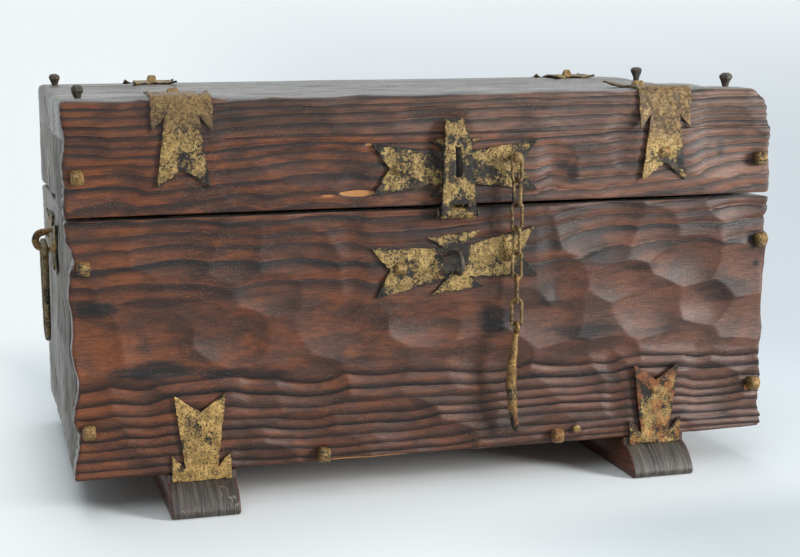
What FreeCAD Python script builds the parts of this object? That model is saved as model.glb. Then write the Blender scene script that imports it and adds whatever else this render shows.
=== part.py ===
import FreeCAD, Part
import math
import os
import re

import Sketcher

# A small plank coffer on two runners, with a box-shaped lid that turns on two strap hinges at
# the back.  All sizes are millimetres.  +X is to the right seen from the front, +Y to the back,
# +Z up.  The origin is on the floor under the middle of the chest.

SIZES = {
    # base box
    "chest_width": 620,
    "chest_depth": 350,
    "base_tall": 213,
    "board": 22,
    "bottom_thick": 18,
    # runners under the bottom
    "runner_tall": 32,
    "runner_wide": 57,
    "runner_left": 206.5,
    "runner_right": 202.5,
    "toe_reach": 25,
    "toe_top_drop": 6,
    "toe_nose": 3,
    "toe_round": 70,
    # lid: a thick plank on a low frame
    "lid_gap": 3.4,
    "lid_frame_tall": 60,
    "lid_top_thick": 34.5,
    # the swallow-tailed sheet-iron cross that every fitting is cut from
    "sheet": 2,
    "arm_reach": 73,
    "tail_half": 21.5,
    "tail_notch": 15,
    "waist_half": 13.5,
    "band_half": 24.5,
    "band_reach": 23,
    "slit_start": 10,
    # rolled knuckles and their pins
    "pin_radius": 3,
    "pin_fit": 0.05,
    "knuckle_gap": 0.3,
    "tongue_wide": 14,
    "ear_wide": 8,
    "ear_gap": 0.4,
    "pin_end": 1.5,
    "pin_head_radius": 4.4,
    # places of the lid straps and the hinges, from the middle
    "strap_left": 215,
    "strap_right": 207,
    "hinge_left": 203,
    "hinge_right": 236,
    # hasp, catch plate and staples
    "lock_place": 15,
    "hasp_plate_rise": 31.6,
    "hasp_axis_drop": 6.4,
    "hasp_sheet": 2.4,
    "hasp_long": 79,
    "hasp_half": 16,
    "hasp_tip_half": 8.5,
    "hasp_taper_start": 28,
    "hasp_bend_start": 69,
    "hasp_bow": 1.5,
    "hasp_side_round": 190,
    "slot_side_room": 0.7,
    "slot_end_room": 2,
    "catch_drop": 46,
    "catch_tilt": 5,
    "staple_out": 20,
    "staple_outer_tall": 21.5,
    "staple_radius": 2,
    "staple_leg": 16,
    "staple_fit": 0.05,
    # end handles
    "handle_rise": 178,
    "loop_radius": 3.3,
    "loop_wide": 48,
    "loop_long": 86,
    "loop_top_round": 8,
    "loop_bottom_round": 20,
    "loop_gap": 0.3,
    "handle_staple_out": 18,
    # chain and locking peg
    "chain_tip_inset": 22,
    "chain_nail_rise": 7.5,
    "chain_nail_head": 8,
    "chain_nail_head_tall": 2.5,
    "link_long": 27,
    "link_wide": 12,
    "link_wire": 1.5,
    "chain_gap": 0.2,
    "chain_wall_gap": 0.4,
    "link_count": 7,
    "peg_long": 92,
    "peg_eye_hole": 2.6,
    "peg_eye_wire": 1.7,
    "peg_radius": 4.3,
    "peg_tip_radius": 2.6,
    "peg_bend": 4.5,
    # nails
    "nail_head": 10.5,
    "nail_head_top": 4.5,
    "nail_head_tall": 4.8,
    "nail_radius": 1.9,
    "nail_fit": 0.02,
    "board_nail_long": 46,
    "plate_nail_long": 19,
    "tail_nail_inset": 24,
    "corner_nail_high": 174,
    "corner_nail_low": 41,
    "bottom_nail_rise": 7,
    "bottom_nail_left": 102,
    "bottom_nail_right": 110,
    "plug_place": 128,
    "plug_rise": 12,
    "plug_head": 4,
    "plug_head_tall": 2,
    # corner studs of the lid plank
    "stud_side_inset": 13.5,
    "stud_left_front": 42,
    "stud_left_back": 44,
    "stud_right_front": 60,
    "stud_right_back": 92,
    "stud_neck": 2.4,
    "stud_head": 5.8,
    "stud_neck_tall": 8.5,
    "stud_head_tall": 5,
    "stud_crown": 2.6,
    "stud_shank_long": 55,
}

doc = FreeCAD.newDocument("CofferChest")
sheet = doc.addObject("Spreadsheet::Sheet", "Sizes")
for row, (alias, number) in enumerate(SIZES.items(), start=1):
    sheet.set(f"A{row}", alias)
    sheet.set(f"B{row}", str(number))
    sheet.setAlias(f"B{row}", alias)
doc.recompute()

# Heights and places that follow from the driving sizes, as formulas.
BASE_LOW = "runner_tall"
BASE_HIGH = "(runner_tall + base_tall)"
LID_LOW = "(runner_tall + base_tall + lid_gap)"
FRAME_HIGH = "(runner_tall + base_tall + lid_gap + lid_frame_tall)"
LID_HIGH = "(runner_tall + base_tall + lid_gap + lid_frame_tall + lid_top_thick)"
HALF_WIDTH = "(chest_width / 2)"
HALF_DEPTH = "(chest_depth / 2)"
INNER_WIDTH = "(chest_width / 2 - board)"
INNER_DEPTH = "(chest_depth / 2 - board)"
SHEET_KNUCKLE = "(pin_radius + pin_fit + sheet)"
HASP_KNUCKLE = "(pin_radius + pin_fit + hasp_sheet)"
HINGE_OUT = "(pin_radius + pin_fit + sheet + knuckle_gap)"
HASP_OUT = "(pin_radius + pin_fit + hasp_sheet + knuckle_gap)"
HINGE_AXIS = "(runner_tall + base_tall + lid_gap / 2)"
HINGE_DROP = "(lid_top_thick + lid_frame_tall + lid_gap / 2)"
HASP_PLATE_Z = "(runner_tall + base_tall + lid_gap + hasp_plate_rise)"
HASP_AXIS_Z = "(runner_tall + base_tall + lid_gap - hasp_axis_drop)"
CATCH_Z = "(runner_tall + base_tall - catch_drop)"
HANDLE_Z = "(runner_tall + handle_rise)"
SLOT_START = "(catch_drop + lid_gap - hasp_axis_drop - staple_outer_tall / 2 - slot_end_room)"
SLOT_WIDE = "(2 * staple_radius + 2 * slot_side_room)"
SLOT_LONG = "(staple_outer_tall + 2 * slot_end_room)"
STAPLE_ROUND = "(staple_outer_tall / 2 - staple_radius)"
CHAIN_X = "(lock_place + arm_reach - chain_tip_inset)"
TAIL_NAIL = "(arm_reach - tail_nail_inset)"
CHAIN_OUT = "(sheet + nail_head_tall + chain_wall_gap + link_wide / 2)"
CHAIN_NAIL_Z = "(runner_tall + base_tall + lid_gap + hasp_plate_rise + chain_nail_rise)"
LINK_SPAN = "(link_long - 2 * link_wire)"
LINK_PITCH = "(link_long - 4 * link_wire - chain_gap)"
LINK_ROUND = "(link_wide / 2 - link_wire)"
LINK_TOP_Z = f"({CHAIN_NAIL_Z} + nail_radius + chain_gap + link_wire)"
PEG_EYE_ROUND = "(peg_eye_hole + peg_eye_wire)"
PEG_Z = (f"({LINK_TOP_Z} - (link_count - 1) * {LINK_PITCH} - {LINK_SPAN}"
         " - peg_eye_hole + link_wire + chain_gap)")
PEG_STEPS = 8

# Fronts, backs and ends: the way a fitting faces, as the turn of its own frame, whose +Z
# points away from the wood and whose +Y points up the wall (towards the back on the top).
OUTWARD = {
    "front": ((0, -1, 0), (0, 0, 1)),
    "back": ((0, 1, 0), (0, 0, 1)),
    "left": ((-1, 0, 0), (0, 0, 1)),
    "right": ((1, 0, 0), (0, 0, 1)),
    "top": ((0, 0, 1), (0, 1, 0)),
}


def bound(formula):
    """Write the size names in a formula as references to the sheet."""
    return re.sub(r"[a-z][a-z_]*", lambda word: f"Sizes.{word[0]}" if word[0] in SIZES else word[0], formula)


def value(formula):
    """The number that a formula gives with the sizes as they are."""
    return float(sheet.evalExpression(bound(formula)))


def turn(side, inward=False):
    """The rotation of a frame that faces out of, or into, one side of the chest."""
    outward, upward = (FreeCAD.Vector(*direction) for direction in OUTWARD[side])
    if inward:
        outward = outward * -1
    return FreeCAD.Rotation(upward.cross(outward), upward, outward, "ZYX")


def place(thing, at, rotation=None):
    """Put an object at three formulas, turned by a rotation."""
    thing.Placement = FreeCAD.Placement(FreeCAD.Vector(), rotation or FreeCAD.Rotation())
    for axis, formula in zip("xyz", at):
        thing.setExpression(f"Placement.Base.{axis}", bound(formula))


def primitive(kind, name, at=("0", "0", "0"), rotation=None, **sizes):
    """A Part primitive whose sizes are formulas."""
    thing = doc.addObject(f"Part::{kind}", name)
    for key, formula in sizes.items():
        thing.setExpression(key, bound(formula))
    place(thing, at, rotation)
    return thing


def joined(name, *pieces):
    """One solid from several overlapping ones."""
    union = doc.addObject("Part::MultiFuse", name)
    union.Shapes = list(pieces)
    union.Refine = True
    return union


def cut(name, base, *tools):
    """A base with the tools taken out of it."""
    difference = doc.addObject("Part::Cut", name)
    difference.Base = base
    if len(tools) > 1:
        bundle = doc.addObject("Part::Compound", name + "Tools")
        bundle.Links = list(tools)
        difference.Tool = bundle
    else:
        difference.Tool = tools[0]
    return difference


# ---- sketches and bodies ----------------------------------------------------------------------

def sketch_on(body, name, role, lift="0"):
    """A sketch on one origin plane of its body, lifted along the plane's normal."""
    sketch = body.newObject("Sketcher::SketchObject", name)
    planes = [feature for feature in body.Origin.OriginFeatures if feature.Role == role]
    sketch.AttachmentSupport = (planes[0], [""])
    sketch.MapMode = "FlatFace"
    sketch.setExpression("AttachmentOffset.Base.z", bound(lift))
    return sketch


def arc_through(start, end, radius, left_turn):
    """A circle's arc from start to end, and which of its ends is the start."""
    chord = end - start
    middle = (start + end) * 0.5
    across = FreeCAD.Vector(-chord.y, chord.x, 0).normalize()
    height = math.sqrt(max(radius ** 2 - (chord.Length / 2) ** 2, 0))
    centre = middle + across * (height if left_turn else -height)
    circle = Part.Circle(centre, FreeCAD.Vector(0, 0, 1), radius)
    first, last = (start, end) if left_turn else (end, start)
    arc = Part.ArcOfCircle(circle, circle.parameter(first), circle.parameter(last))
    return arc, (1, 2) if left_turn else (2, 1)


def outline(sketch, points, arcs=None):
    """Draw a closed outline through points given as pairs of formulas.

    arcs gives the radius of the side that starts at a point, positive where the outline
    turns left along it and negative where it turns right.
    """
    arcs = arcs or {}
    spots = [FreeCAD.Vector(value(across), value(up), 0) for across, up in points]
    ends = []
    for number, start in enumerate(spots):
        end = spots[(number + 1) % len(spots)]
        if number in arcs:
            left_turn = not arcs[number].startswith("-")
            arc, order = arc_through(start, end, value(arcs[number].lstrip("-")), left_turn)
            sketch.addGeometry(arc)
            ends.append(order)
        else:
            sketch.addGeometry(Part.LineSegment(start, end))
            ends.append((1, 2))
    for number, (across, up) in enumerate(points):
        following = (number + 1) % len(points)
        sketch.addConstraint(Sketcher.Constraint(
            "Coincident", number, ends[number][1], following, ends[following][0]))
        for kind, formula in (("DistanceX", across), ("DistanceY", up)):
            constraint = sketch.addConstraint(Sketcher.Constraint(
                kind, -1, 1, number, ends[number][0], value(formula)))
            sketch.setExpression(f"Constraints[{constraint}]", bound(formula))
        if number in arcs:
            radius = arcs[number].lstrip("-")
            constraint = sketch.addConstraint(Sketcher.Constraint("Radius", number, value(radius)))
            sketch.setExpression(f"Constraints[{constraint}]", bound(radius))


def circle_at(sketch, radius, up="0", across="0"):
    """Draw a circle whose radius and centre are formulas."""
    centre = FreeCAD.Vector(value(across), value(up), 0)
    edge = sketch.addGeometry(Part.Circle(centre, FreeCAD.Vector(0, 0, 1), value(radius)))
    for kind, formula in (("DistanceX", across), ("DistanceY", up)):
        constraint = sketch.addConstraint(Sketcher.Constraint(kind, -1, 1, edge, 3, value(formula)))
        sketch.setExpression(f"Constraints[{constraint}]", bound(formula))
    constraint = sketch.addConstraint(Sketcher.Constraint("Radius", edge, value(radius)))
    sketch.setExpression(f"Constraints[{constraint}]", bound(radius))


def pad(body, sketch, length, reverse=False, both_ways=False):
    """Raise a sketch into a solid."""
    feature = body.newObject("PartDesign::Pad", sketch.Name + "Pad")
    feature.Profile = sketch
    feature.setExpression("Length", bound(length))
    feature.Reversed = reverse
    feature.SideType = "Symmetric" if both_ways else "One side"
    return feature


def rectangle(left, right, low, high):
    """The corners of a rectangle between four formulas."""
    return [(left, low), (right, low), (right, high), (left, high)]


def negative(formula):
    return f"-({formula})"


def half_cross(low, sign=1):
    """Half of the swallow-tailed cross: a band with two pointed wings, and one forked arm."""
    points = [
        ("band_half", low),
        ("band_half", "band_reach"),
        ("waist_half", "slit_start"),
        ("tail_half", "arm_reach"),
        ("0", "arm_reach - tail_notch"),
        ("-tail_half", "arm_reach"),
        ("-waist_half", "slit_start"),
        ("-band_half", "band_reach"),
        ("-band_half", low),
    ]
    return points if sign > 0 else [(across, negative(up)) for across, up in points]


def whole_cross():
    """The full cross, with its forked arms along the sketch's first axis."""
    upper = half_cross("0")[1:-1]
    lower = [(negative(across), negative(up)) for across, up in upper]
    return [(up, across) for across, up in upper + lower]


def add_knuckle(body, spans, axis_up, root_up, out, thick):
    """Roll tongues of a plate around a pin that lies along the body's X axis.

    spans are pairs of formulas across the body, axis_up is the pin's height in the body's
    frame, root_up is where the tongues leave the plate and out is the pin's distance from
    the wood.
    """
    ring = f"(pin_radius + pin_fit + {thick})"
    for number, (left, right) in enumerate(spans):
        tongue = sketch_on(body, f"{body.Name}Tongue{number}", "XY_Plane", f"{out} - {ring}")
        outline(tongue, rectangle(left, right, axis_up, root_up))
        pad(body, tongue, thick)
        roll = sketch_on(body, f"{body.Name}Roll{number}", "YZ_Plane", left)
        circle_at(roll, ring, up=out, across=axis_up)
        pad(body, roll, f"{right} - ({left})")
    bore = sketch_on(body, f"{body.Name}Bore", "YZ_Plane")
    circle_at(bore, "pin_radius + pin_fit", up=out, across=axis_up)
    pocket = body.newObject("PartDesign::Pocket", f"{body.Name}BorePocket")
    pocket.Profile = bore
    pocket.SideType = "Symmetric"
    pocket.setExpression("Length", bound("4 * (tongue_wide + ear_wide)"))


CENTRE_TONGUE = [("-tongue_wide / 2", "tongue_wide / 2")]
SIDE_EARS = [
    ("-(tongue_wide / 2 + ear_gap + ear_wide)", "-(tongue_wide / 2 + ear_gap)"),
    ("tongue_wide / 2 + ear_gap", "tongue_wide / 2 + ear_gap + ear_wide"),
]


# ---- boards -----------------------------------------------------------------------------------

def board(name, x_low, x_high, y_low, y_high, z_low, z_high):
    """A squared board between six formulas."""
    return primitive(
        "Box", name, (x_low, y_low, z_low),
        Length=f"{x_high} - ({x_low})", Width=f"{y_high} - ({y_low})", Height=f"{z_high} - ({z_low})")


def box_of_boards(prefix, z_low, z_high):
    """Four boards set as a box: the front and back run the full width, the ends between them."""
    full = (negative(HALF_WIDTH), HALF_WIDTH)
    between = (negative(INNER_DEPTH), INNER_DEPTH)
    return {
        f"{prefix}_front_board": board(
            f"{prefix}_front_plank", *full, negative(HALF_DEPTH), negative(INNER_DEPTH), z_low, z_high),
        f"{prefix}_back_board": board(
            f"{prefix}_back_plank", *full, INNER_DEPTH, HALF_DEPTH, z_low, z_high),
        f"{prefix}_left_end_board": board(
            f"{prefix}_left_plank", negative(HALF_WIDTH), negative(INNER_WIDTH), *between, z_low, z_high),
        f"{prefix}_right_end_board": board(
            f"{prefix}_right_plank", INNER_WIDTH, HALF_WIDTH, *between, z_low, z_high),
    }


def runner(name, middle):
    """A runner from front to back whose two toes slope out past the chest."""
    body = doc.addObject("PartDesign::Body", name)
    profile = sketch_on(body, name + "Profile", "YZ_Plane")
    toe = f"{HALF_DEPTH} + toe_reach"
    shoulder = "runner_tall - toe_top_drop"
    right = [
        (f"{toe} - toe_nose", "0"),
        (toe, "toe_nose"),
        (HALF_DEPTH, shoulder),
        (HALF_DEPTH, "runner_tall"),
    ]
    left = [(negative(across), up) for across, up in reversed(right)]
    outline(profile, right + left, arcs={
        0: "toe_nose", 1: "toe_round", 5: "toe_round", 6: "toe_nose"})
    pad(body, profile, "runner_wide", both_ways=True)
    place(body, (middle, "0", "0"))
    return body


# ---- sheet-iron fittings ------------------------------------------------------------------------

def cross_plate(name, at, side, tilt="0"):
    """A flat cross on a wall, its forked arms level, turned anticlockwise by tilt degrees."""
    body = doc.addObject("PartDesign::Body", name)
    shape = sketch_on(body, name + "Outline", "XY_Plane")
    outline(shape, whole_cross())
    pad(body, shape, "sheet")
    spin = FreeCAD.Rotation(FreeCAD.Vector(0, 0, 1), value(tilt))
    place(body, at, turn(side) * spin)
    return body


def folded_strap(name, at, side):
    """A cross folded over an edge: one arm hangs down the wall, the other lies on the top."""
    body = doc.addObject("PartDesign::Body", name)
    wall = sketch_on(body, name + "Wall", "XY_Plane")
    outline(wall, half_cross("-sheet", sign=-1))
    pad(body, wall, "sheet")
    top = sketch_on(body, name + "Top", "XZ_Plane")
    outline(top, half_cross("-sheet", sign=-1))
    pad(body, top, "sheet", reverse=True)
    place(body, at, turn(side))
    return body


def hinge_strap(name, at, side):
    """A folded strap whose wall arm runs down to a rolled knuckle on the hinge pin."""
    body = doc.addObject("PartDesign::Body", name)
    shoulder = f"-({HINGE_DROP} - {SHEET_KNUCKLE} - knuckle_gap)"
    wall = sketch_on(body, name + "Wall", "XY_Plane")
    outline(wall, [
        ("band_half", "sheet"),
        ("band_half", "-band_reach"),
        ("waist_half", "-slit_start"),
        ("waist_half", shoulder),
        ("-waist_half", shoulder),
        ("-waist_half", "-slit_start"),
        ("-band_half", "-band_reach"),
        ("-band_half", "sheet"),
    ])
    pad(body, wall, "sheet")
    top = sketch_on(body, name + "Top", "XZ_Plane")
    outline(top, half_cross("-sheet", sign=-1))
    pad(body, top, "sheet", reverse=True)
    add_knuckle(body, CENTRE_TONGUE, negative(HINGE_DROP), f"{shoulder} + sheet", HINGE_OUT, "sheet")
    place(body, at, turn(side))
    return body


def base_hinge_plate(name, at, side):
    """A cross on the back of the base: forked arm down, upper arm rolled into two ears."""
    body = doc.addObject("PartDesign::Body", name)
    shoulder = f"-({SHEET_KNUCKLE} + knuckle_gap)"
    centre = f"({shoulder} - band_half)"
    shape = sketch_on(body, name + "Outline", "XY_Plane")
    lower = [(across, f"{centre} + ({up})") for across, up in half_cross("0", sign=-1)[1:-1]]
    outline(shape, [
        ("tongue_wide / 2 + ear_gap + ear_wide", shoulder),
        ("band_half", f"{centre} + band_reach"),
    ] + lower + [
        ("-band_half", f"{centre} + band_reach"),
        ("-(tongue_wide / 2 + ear_gap + ear_wide)", shoulder),
    ])
    pad(body, shape, "sheet")
    add_knuckle(body, SIDE_EARS, "0", f"{shoulder} - sheet", HINGE_OUT, "sheet")
    place(body, at, turn(side))
    return body


def foot_bracket(name, at, side):
    """Half a cross on the wall above a toe, its band's edge lapping onto the runner."""
    body = doc.addObject("PartDesign::Body", name)
    shape = sketch_on(body, name + "Outline", "XY_Plane")
    outline(shape, half_cross("0"))
    pad(body, shape, "sheet")
    place(body, at, turn(side))
    return body


def hasp_plate(name, at, side):
    """The lid's lock plate: a level cross with a tongue down to the hasp's pin."""
    body = doc.addObject("PartDesign::Body", name)
    shape = sketch_on(body, name + "Outline", "XY_Plane")
    outline(shape, whole_cross())
    pad(body, shape, "sheet")
    add_knuckle(
        body, CENTRE_TONGUE, "-(hasp_plate_rise + hasp_axis_drop)", "-band_half + slit_start",
        HASP_OUT, "sheet")
    place(body, at, turn(side))
    return body


def hasp(name, at, side):
    """The hasp, turned up against the lid: two rolled ears, a bowed strap with a slot, a bent tip."""
    front = doc.addObject("PartDesign::Body", name + "_front")
    shape = sketch_on(front, name + "Front", "XY_Plane")
    outline(shape, [
        ("hasp_half", "0"),
        ("hasp_half", "hasp_taper_start"),
        ("hasp_tip_half", "hasp_long"),
        ("-hasp_tip_half", "hasp_long"),
        ("-hasp_half", "hasp_taper_start"),
        ("-hasp_half", "0"),
    ], arcs={1: "hasp_side_round", 3: "hasp_side_round"})
    pad(front, shape, f"2 * {HASP_OUT}")

    side_body = doc.addObject("PartDesign::Body", name + "_side")
    profile = sketch_on(side_body, name + "Side", "YZ_Plane")
    outer = f"({HASP_OUT} + {HASP_KNUCKLE})"
    inner = f"({outer} - hasp_sheet)"
    bow_round = "((hasp_bend_start / 2) ^ 2 / (2 * hasp_bow) + hasp_bow / 2)"
    outline(profile, [
        ("0", inner),
        ("0", outer),
        ("hasp_bend_start", outer),
        ("hasp_long + hasp_sheet", "hasp_sheet + knuckle_gap"),
        ("hasp_long", "knuckle_gap"),
        ("hasp_bend_start - hasp_sheet / 2", inner),
    ], arcs={1: "-" + bow_round, 5: bow_round})
    pad(side_body, profile, "2 * hasp_half", both_ways=True)

    strap = doc.addObject("Part::Common", name + "_strap")
    strap.Base = front
    strap.Tool = side_body

    ears = []
    for number, (left, right) in enumerate(SIDE_EARS):
        ears.append(primitive(
            "Cylinder", f"{name}_ear{number}", (left, "0", HASP_OUT),
            FreeCAD.Rotation(FreeCAD.Vector(0, 1, 0), 90),
            Radius=HASP_KNUCKLE, Height=f"{right} - ({left})"))
    bore = primitive(
        "Cylinder", f"{name}_bore", ("-2 * hasp_half", "0", HASP_OUT),
        FreeCAD.Rotation(FreeCAD.Vector(0, 1, 0), 90),
        Radius="pin_radius + pin_fit", Height="4 * hasp_half")
    clearance = primitive(
        "Cylinder", f"{name}_clearance", ("-(tongue_wide / 2 + ear_gap)", "0", HASP_OUT),
        FreeCAD.Rotation(FreeCAD.Vector(0, 1, 0), 90),
        Radius=f"{HASP_KNUCKLE} + knuckle_gap", Height="tongue_wide + 2 * ear_gap")
    slot = primitive(
        "Box", f"{name}_slot", (f"-{SLOT_WIDE} / 2", SLOT_START, "0"),
        Length=SLOT_WIDE, Width=SLOT_LONG, Height=f"2 * {HASP_OUT} + {HASP_KNUCKLE}")
    piece = cut(name + "_cut", joined(name + "_body", strap, *ears), bore, clearance, slot)
    place(piece, at, turn(side))
    return piece


def pin(name, at):
    """A knuckle pin with two small heads, along X."""
    half = "(tongue_wide / 2 + ear_gap + ear_wide + pin_end)"
    lying = FreeCAD.Rotation(FreeCAD.Vector(0, 1, 0), 90)
    shaft = primitive(
        "Cylinder", name + "_shaft", (negative(half), "0", "0"), lying,
        Radius="pin_radius", Height=f"2 * {half}")
    heads = []
    for number, start in enumerate((f"-{half} - pin_end", half)):
        heads.append(primitive(
            "Cylinder", f"{name}_head{number}", (start, "0", "0"), lying,
            Radius="pin_head_radius", Height="pin_end"))
    piece = joined(name + "_body", shaft, *heads)
    place(piece, at)
    return piece


def staple(name, at, side, out):
    """A round-nosed wire staple that stands upright, its two legs driven into the wood."""
    ring_turn = FreeCAD.Rotation(FreeCAD.Vector(1, 1, 1), 120)
    nose = primitive(
        "Torus", name + "_nose", ("0", "0", f"{out} - {STAPLE_ROUND} - staple_radius"), ring_turn,
        Radius1=STAPLE_ROUND, Radius2="staple_radius", Angle3="180")
    legs = []
    for number, up in enumerate((STAPLE_ROUND, negative(STAPLE_ROUND))):
        legs.append(primitive(
            "Cylinder", f"{name}_leg{number}", ("0", up, "-staple_leg"),
            Radius="staple_radius", Height=f"{out} - {STAPLE_ROUND} - staple_radius + staple_leg"))
    piece = joined(name + "_body", nose, *legs)
    place(piece, at, turn(side))
    return piece


# ---- round bar rings ------------------------------------------------------------------------------

def bar_ring(name, half_wide, long, top_round, bottom_round, radius, straight):
    """A closed ring of round bar in the XZ plane, hanging from the middle of its top bar.

    half_wide and long are to the bar's centre line.  straight says that the top and bottom
    bars have a straight middle.
    """
    upright = FreeCAD.Rotation(FreeCAD.Vector(1, 0, 0), 90)
    pieces = []
    corners = (
        ("a", 0, half_wide, top_round, f"-{top_round}", 0),
        ("b", 90, negative(half_wide), top_round, f"-{top_round}", 1),
        ("c", 180, negative(half_wide), bottom_round, f"-{long} + {bottom_round}", 1),
        ("d", 270, half_wide, bottom_round, f"-{long} + {bottom_round}", 0),
    )
    for letter, start, x, bend, z, is_left in corners:
        across = f"{x} + {bend}" if is_left else f"{x} - {bend}"
        spin = FreeCAD.Rotation(FreeCAD.Vector(0, 0, 1), start)
        pieces.append(primitive(
            "Torus", f"{name}_corner_{letter}", (across, "0", z), upright * spin,
            Radius1=bend, Radius2=radius, Angle3="90"))
    for letter, x in (("left", negative(half_wide)), ("right", half_wide)):
        pieces.append(primitive(
            "Cylinder", f"{name}_{letter}", (x, "0", f"-{long} + {bottom_round}"),
            Radius=radius, Height=f"{long} - {bottom_round} - {top_round}"))
    if straight:
        lying = FreeCAD.Rotation(FreeCAD.Vector(0, 1, 0), 90)
        for letter, z, bend in (("top", "0", top_round), ("bottom", f"-{long}", bottom_round)):
            pieces.append(primitive(
                "Cylinder", f"{name}_{letter}", (f"-{half_wide} + {bend}", "0", z), lying,
                Radius=radius, Height=f"2 * ({half_wide} - {bend})"))
    return joined(name + "_body", *pieces)


def chain_link(name, number):
    """One link; the odd ones face the front and the even ones stand edge on."""
    link = bar_ring(
        name, LINK_ROUND, LINK_SPAN, LINK_ROUND, LINK_ROUND, "link_wire", straight=False)
    edge_on = number % 2 == 0
    height = f"{LINK_TOP_Z} - {number - 1} * {LINK_PITCH}"
    place(link, (CHAIN_X, f"-({HALF_DEPTH} + {CHAIN_OUT})", height),
          FreeCAD.Rotation(FreeCAD.Vector(0, 0, 1), 90 if edge_on else 0))
    return link


def locking_peg(name):
    """The peg on the chain's end: a round eye, then a round body that leans and tapers."""
    eye = primitive(
        "Torus", name + "_eye", ("0", "0", "0"), FreeCAD.Rotation(FreeCAD.Vector(0, 1, 0), 90),
        Radius1=PEG_EYE_ROUND, Radius2="peg_eye_wire")
    sections = []
    for number in range(PEG_STEPS + 1):
        share = number / PEG_STEPS
        swell = f"sin({share} * 180 deg)"
        down = f"{PEG_EYE_ROUND} + {share} * (peg_long - {PEG_EYE_ROUND})"
        radius = (f"peg_eye_wire * (1 - {share}) + peg_tip_radius * {share}"
                  f" + (peg_radius - peg_eye_wire / 2 - peg_tip_radius / 2) * {swell}")
        sections.append(primitive(
            "Circle", f"{name}_section{number}", (f"-peg_bend * {swell}", "0", negative(down)),
            Radius=radius))
    shaft = doc.addObject("Part::Loft", name + "_shaft")
    shaft.Sections = sections
    shaft.Solid = True
    shaft.Ruled = True
    piece = joined(name + "_body", eye, shaft)
    place(piece, (CHAIN_X, f"-({HALF_DEPTH} + {CHAIN_OUT})", PEG_Z))
    return piece


# ---- nails ----------------------------------------------------------------------------------------

def square_nail(name, head, head_tall, shank_long, stand="0"):
    """A forged nail with a blunt pyramid head, its head's underside stand above the origin."""
    wedge_turn = FreeCAD.Rotation(FreeCAD.Vector(1, 0, 0), 90)
    pyramid = primitive(
        "Wedge", name + "_pyramid", ("0", "0", stand), wedge_turn,
        Xmin=f"-{head} / 2", Xmax=f"{head} / 2", Zmin=f"-{head} / 2", Zmax=f"{head} / 2",
        X2min="-nail_head_top / 2", X2max="nail_head_top / 2",
        Z2min="-nail_head_top / 2", Z2max="nail_head_top / 2", Ymin="0", Ymax=head_tall)
    shank = primitive(
        "Cylinder", name + "_shank", ("0", "0", f"-{shank_long}"),
        Radius="nail_radius", Height=f"{shank_long} + {stand} + {head_tall} / 2")
    return joined(name, pyramid, shank)


def round_nail(name):
    """A small round-headed nail."""
    head = primitive("Cylinder", name + "_head", Radius="plug_head", Height="plug_head_tall")
    shank = primitive(
        "Cylinder", name + "_shank", ("0", "0", "-plate_nail_long"),
        Radius="nail_radius", Height="plate_nail_long + plug_head_tall / 2")
    return joined(name, head, shank)


def corner_stud(name):
    """A stud whose neck flares up to a faceted knob that stands clear of the plank."""
    neck = primitive(
        "Cone", name + "_neck", Radius1="stud_neck", Radius2="stud_head", Height="stud_neck_tall")
    knob = primitive(
        "Cone", name + "_knob", ("0", "0", "stud_neck_tall"),
        Radius1="stud_head", Radius2="stud_crown", Height="stud_head_tall")
    shank = primitive(
        "Cylinder", name + "_shank", ("0", "0", "-stud_shank_long"),
        Radius="nail_radius", Height="stud_shank_long + stud_neck_tall / 2")
    return joined(name, neck, knob, shank)


NAILS = {
    "board_nail": square_nail("board_nail", "nail_head", "nail_head_tall", "board_nail_long"),
    "plate_nail": square_nail("plate_nail", "nail_head", "nail_head_tall", "plate_nail_long"),
    "chain_nail": square_nail(
        "chain_nail_pattern", "chain_nail_head", "chain_nail_head_tall", "plate_nail_long",
        stand=f"({CHAIN_OUT} + link_wire + chain_gap - sheet)"),
    "round_nail": round_nail("round_nail"),
    "corner_stud": corner_stud("corner_stud"),
}
SHANKS = {
    "board_nail": "board_nail_long",
    "plate_nail": "plate_nail_long",
    "chain_nail": "plate_nail_long",
    "round_nail": "plate_nail_long",
    "corner_stud": "stud_shank_long",
}

nail_groups = {}
drilled = {}


def drive(group, kind, at, side, through):
    """Drive one nail at three formulas into one side, and drill the pieces it goes through."""
    links = nail_groups.setdefault(group, [])
    name = f"{group}_{len(links)}"
    nail = doc.addObject("App::Link", name)
    nail.LinkedObject = NAILS[kind]
    place(nail, at, turn(side))
    links.append(nail)
    hole = primitive(
        "Cylinder", name + "_hole", at, turn(side, inward=True),
        Radius="nail_radius + nail_fit", Height=SHANKS[kind])
    for piece in through:
        drilled.setdefault(piece, []).append(hole)


def staple_holes(name, at, side, through):
    """Two round holes for a staple's legs."""
    for number, up in enumerate((STAPLE_ROUND, negative(STAPLE_ROUND))):
        x, y, z = at
        hole = primitive(
            "Cylinder", f"{name}_hole{number}", (x, y, f"{z} + {up}"), turn(side, inward=True),
            Radius="staple_radius + staple_fit", Height="sheet + staple_leg")
        for piece in through:
            drilled.setdefault(piece, []).append(hole)


# ---- the pieces -----------------------------------------------------------------------------------

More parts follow.
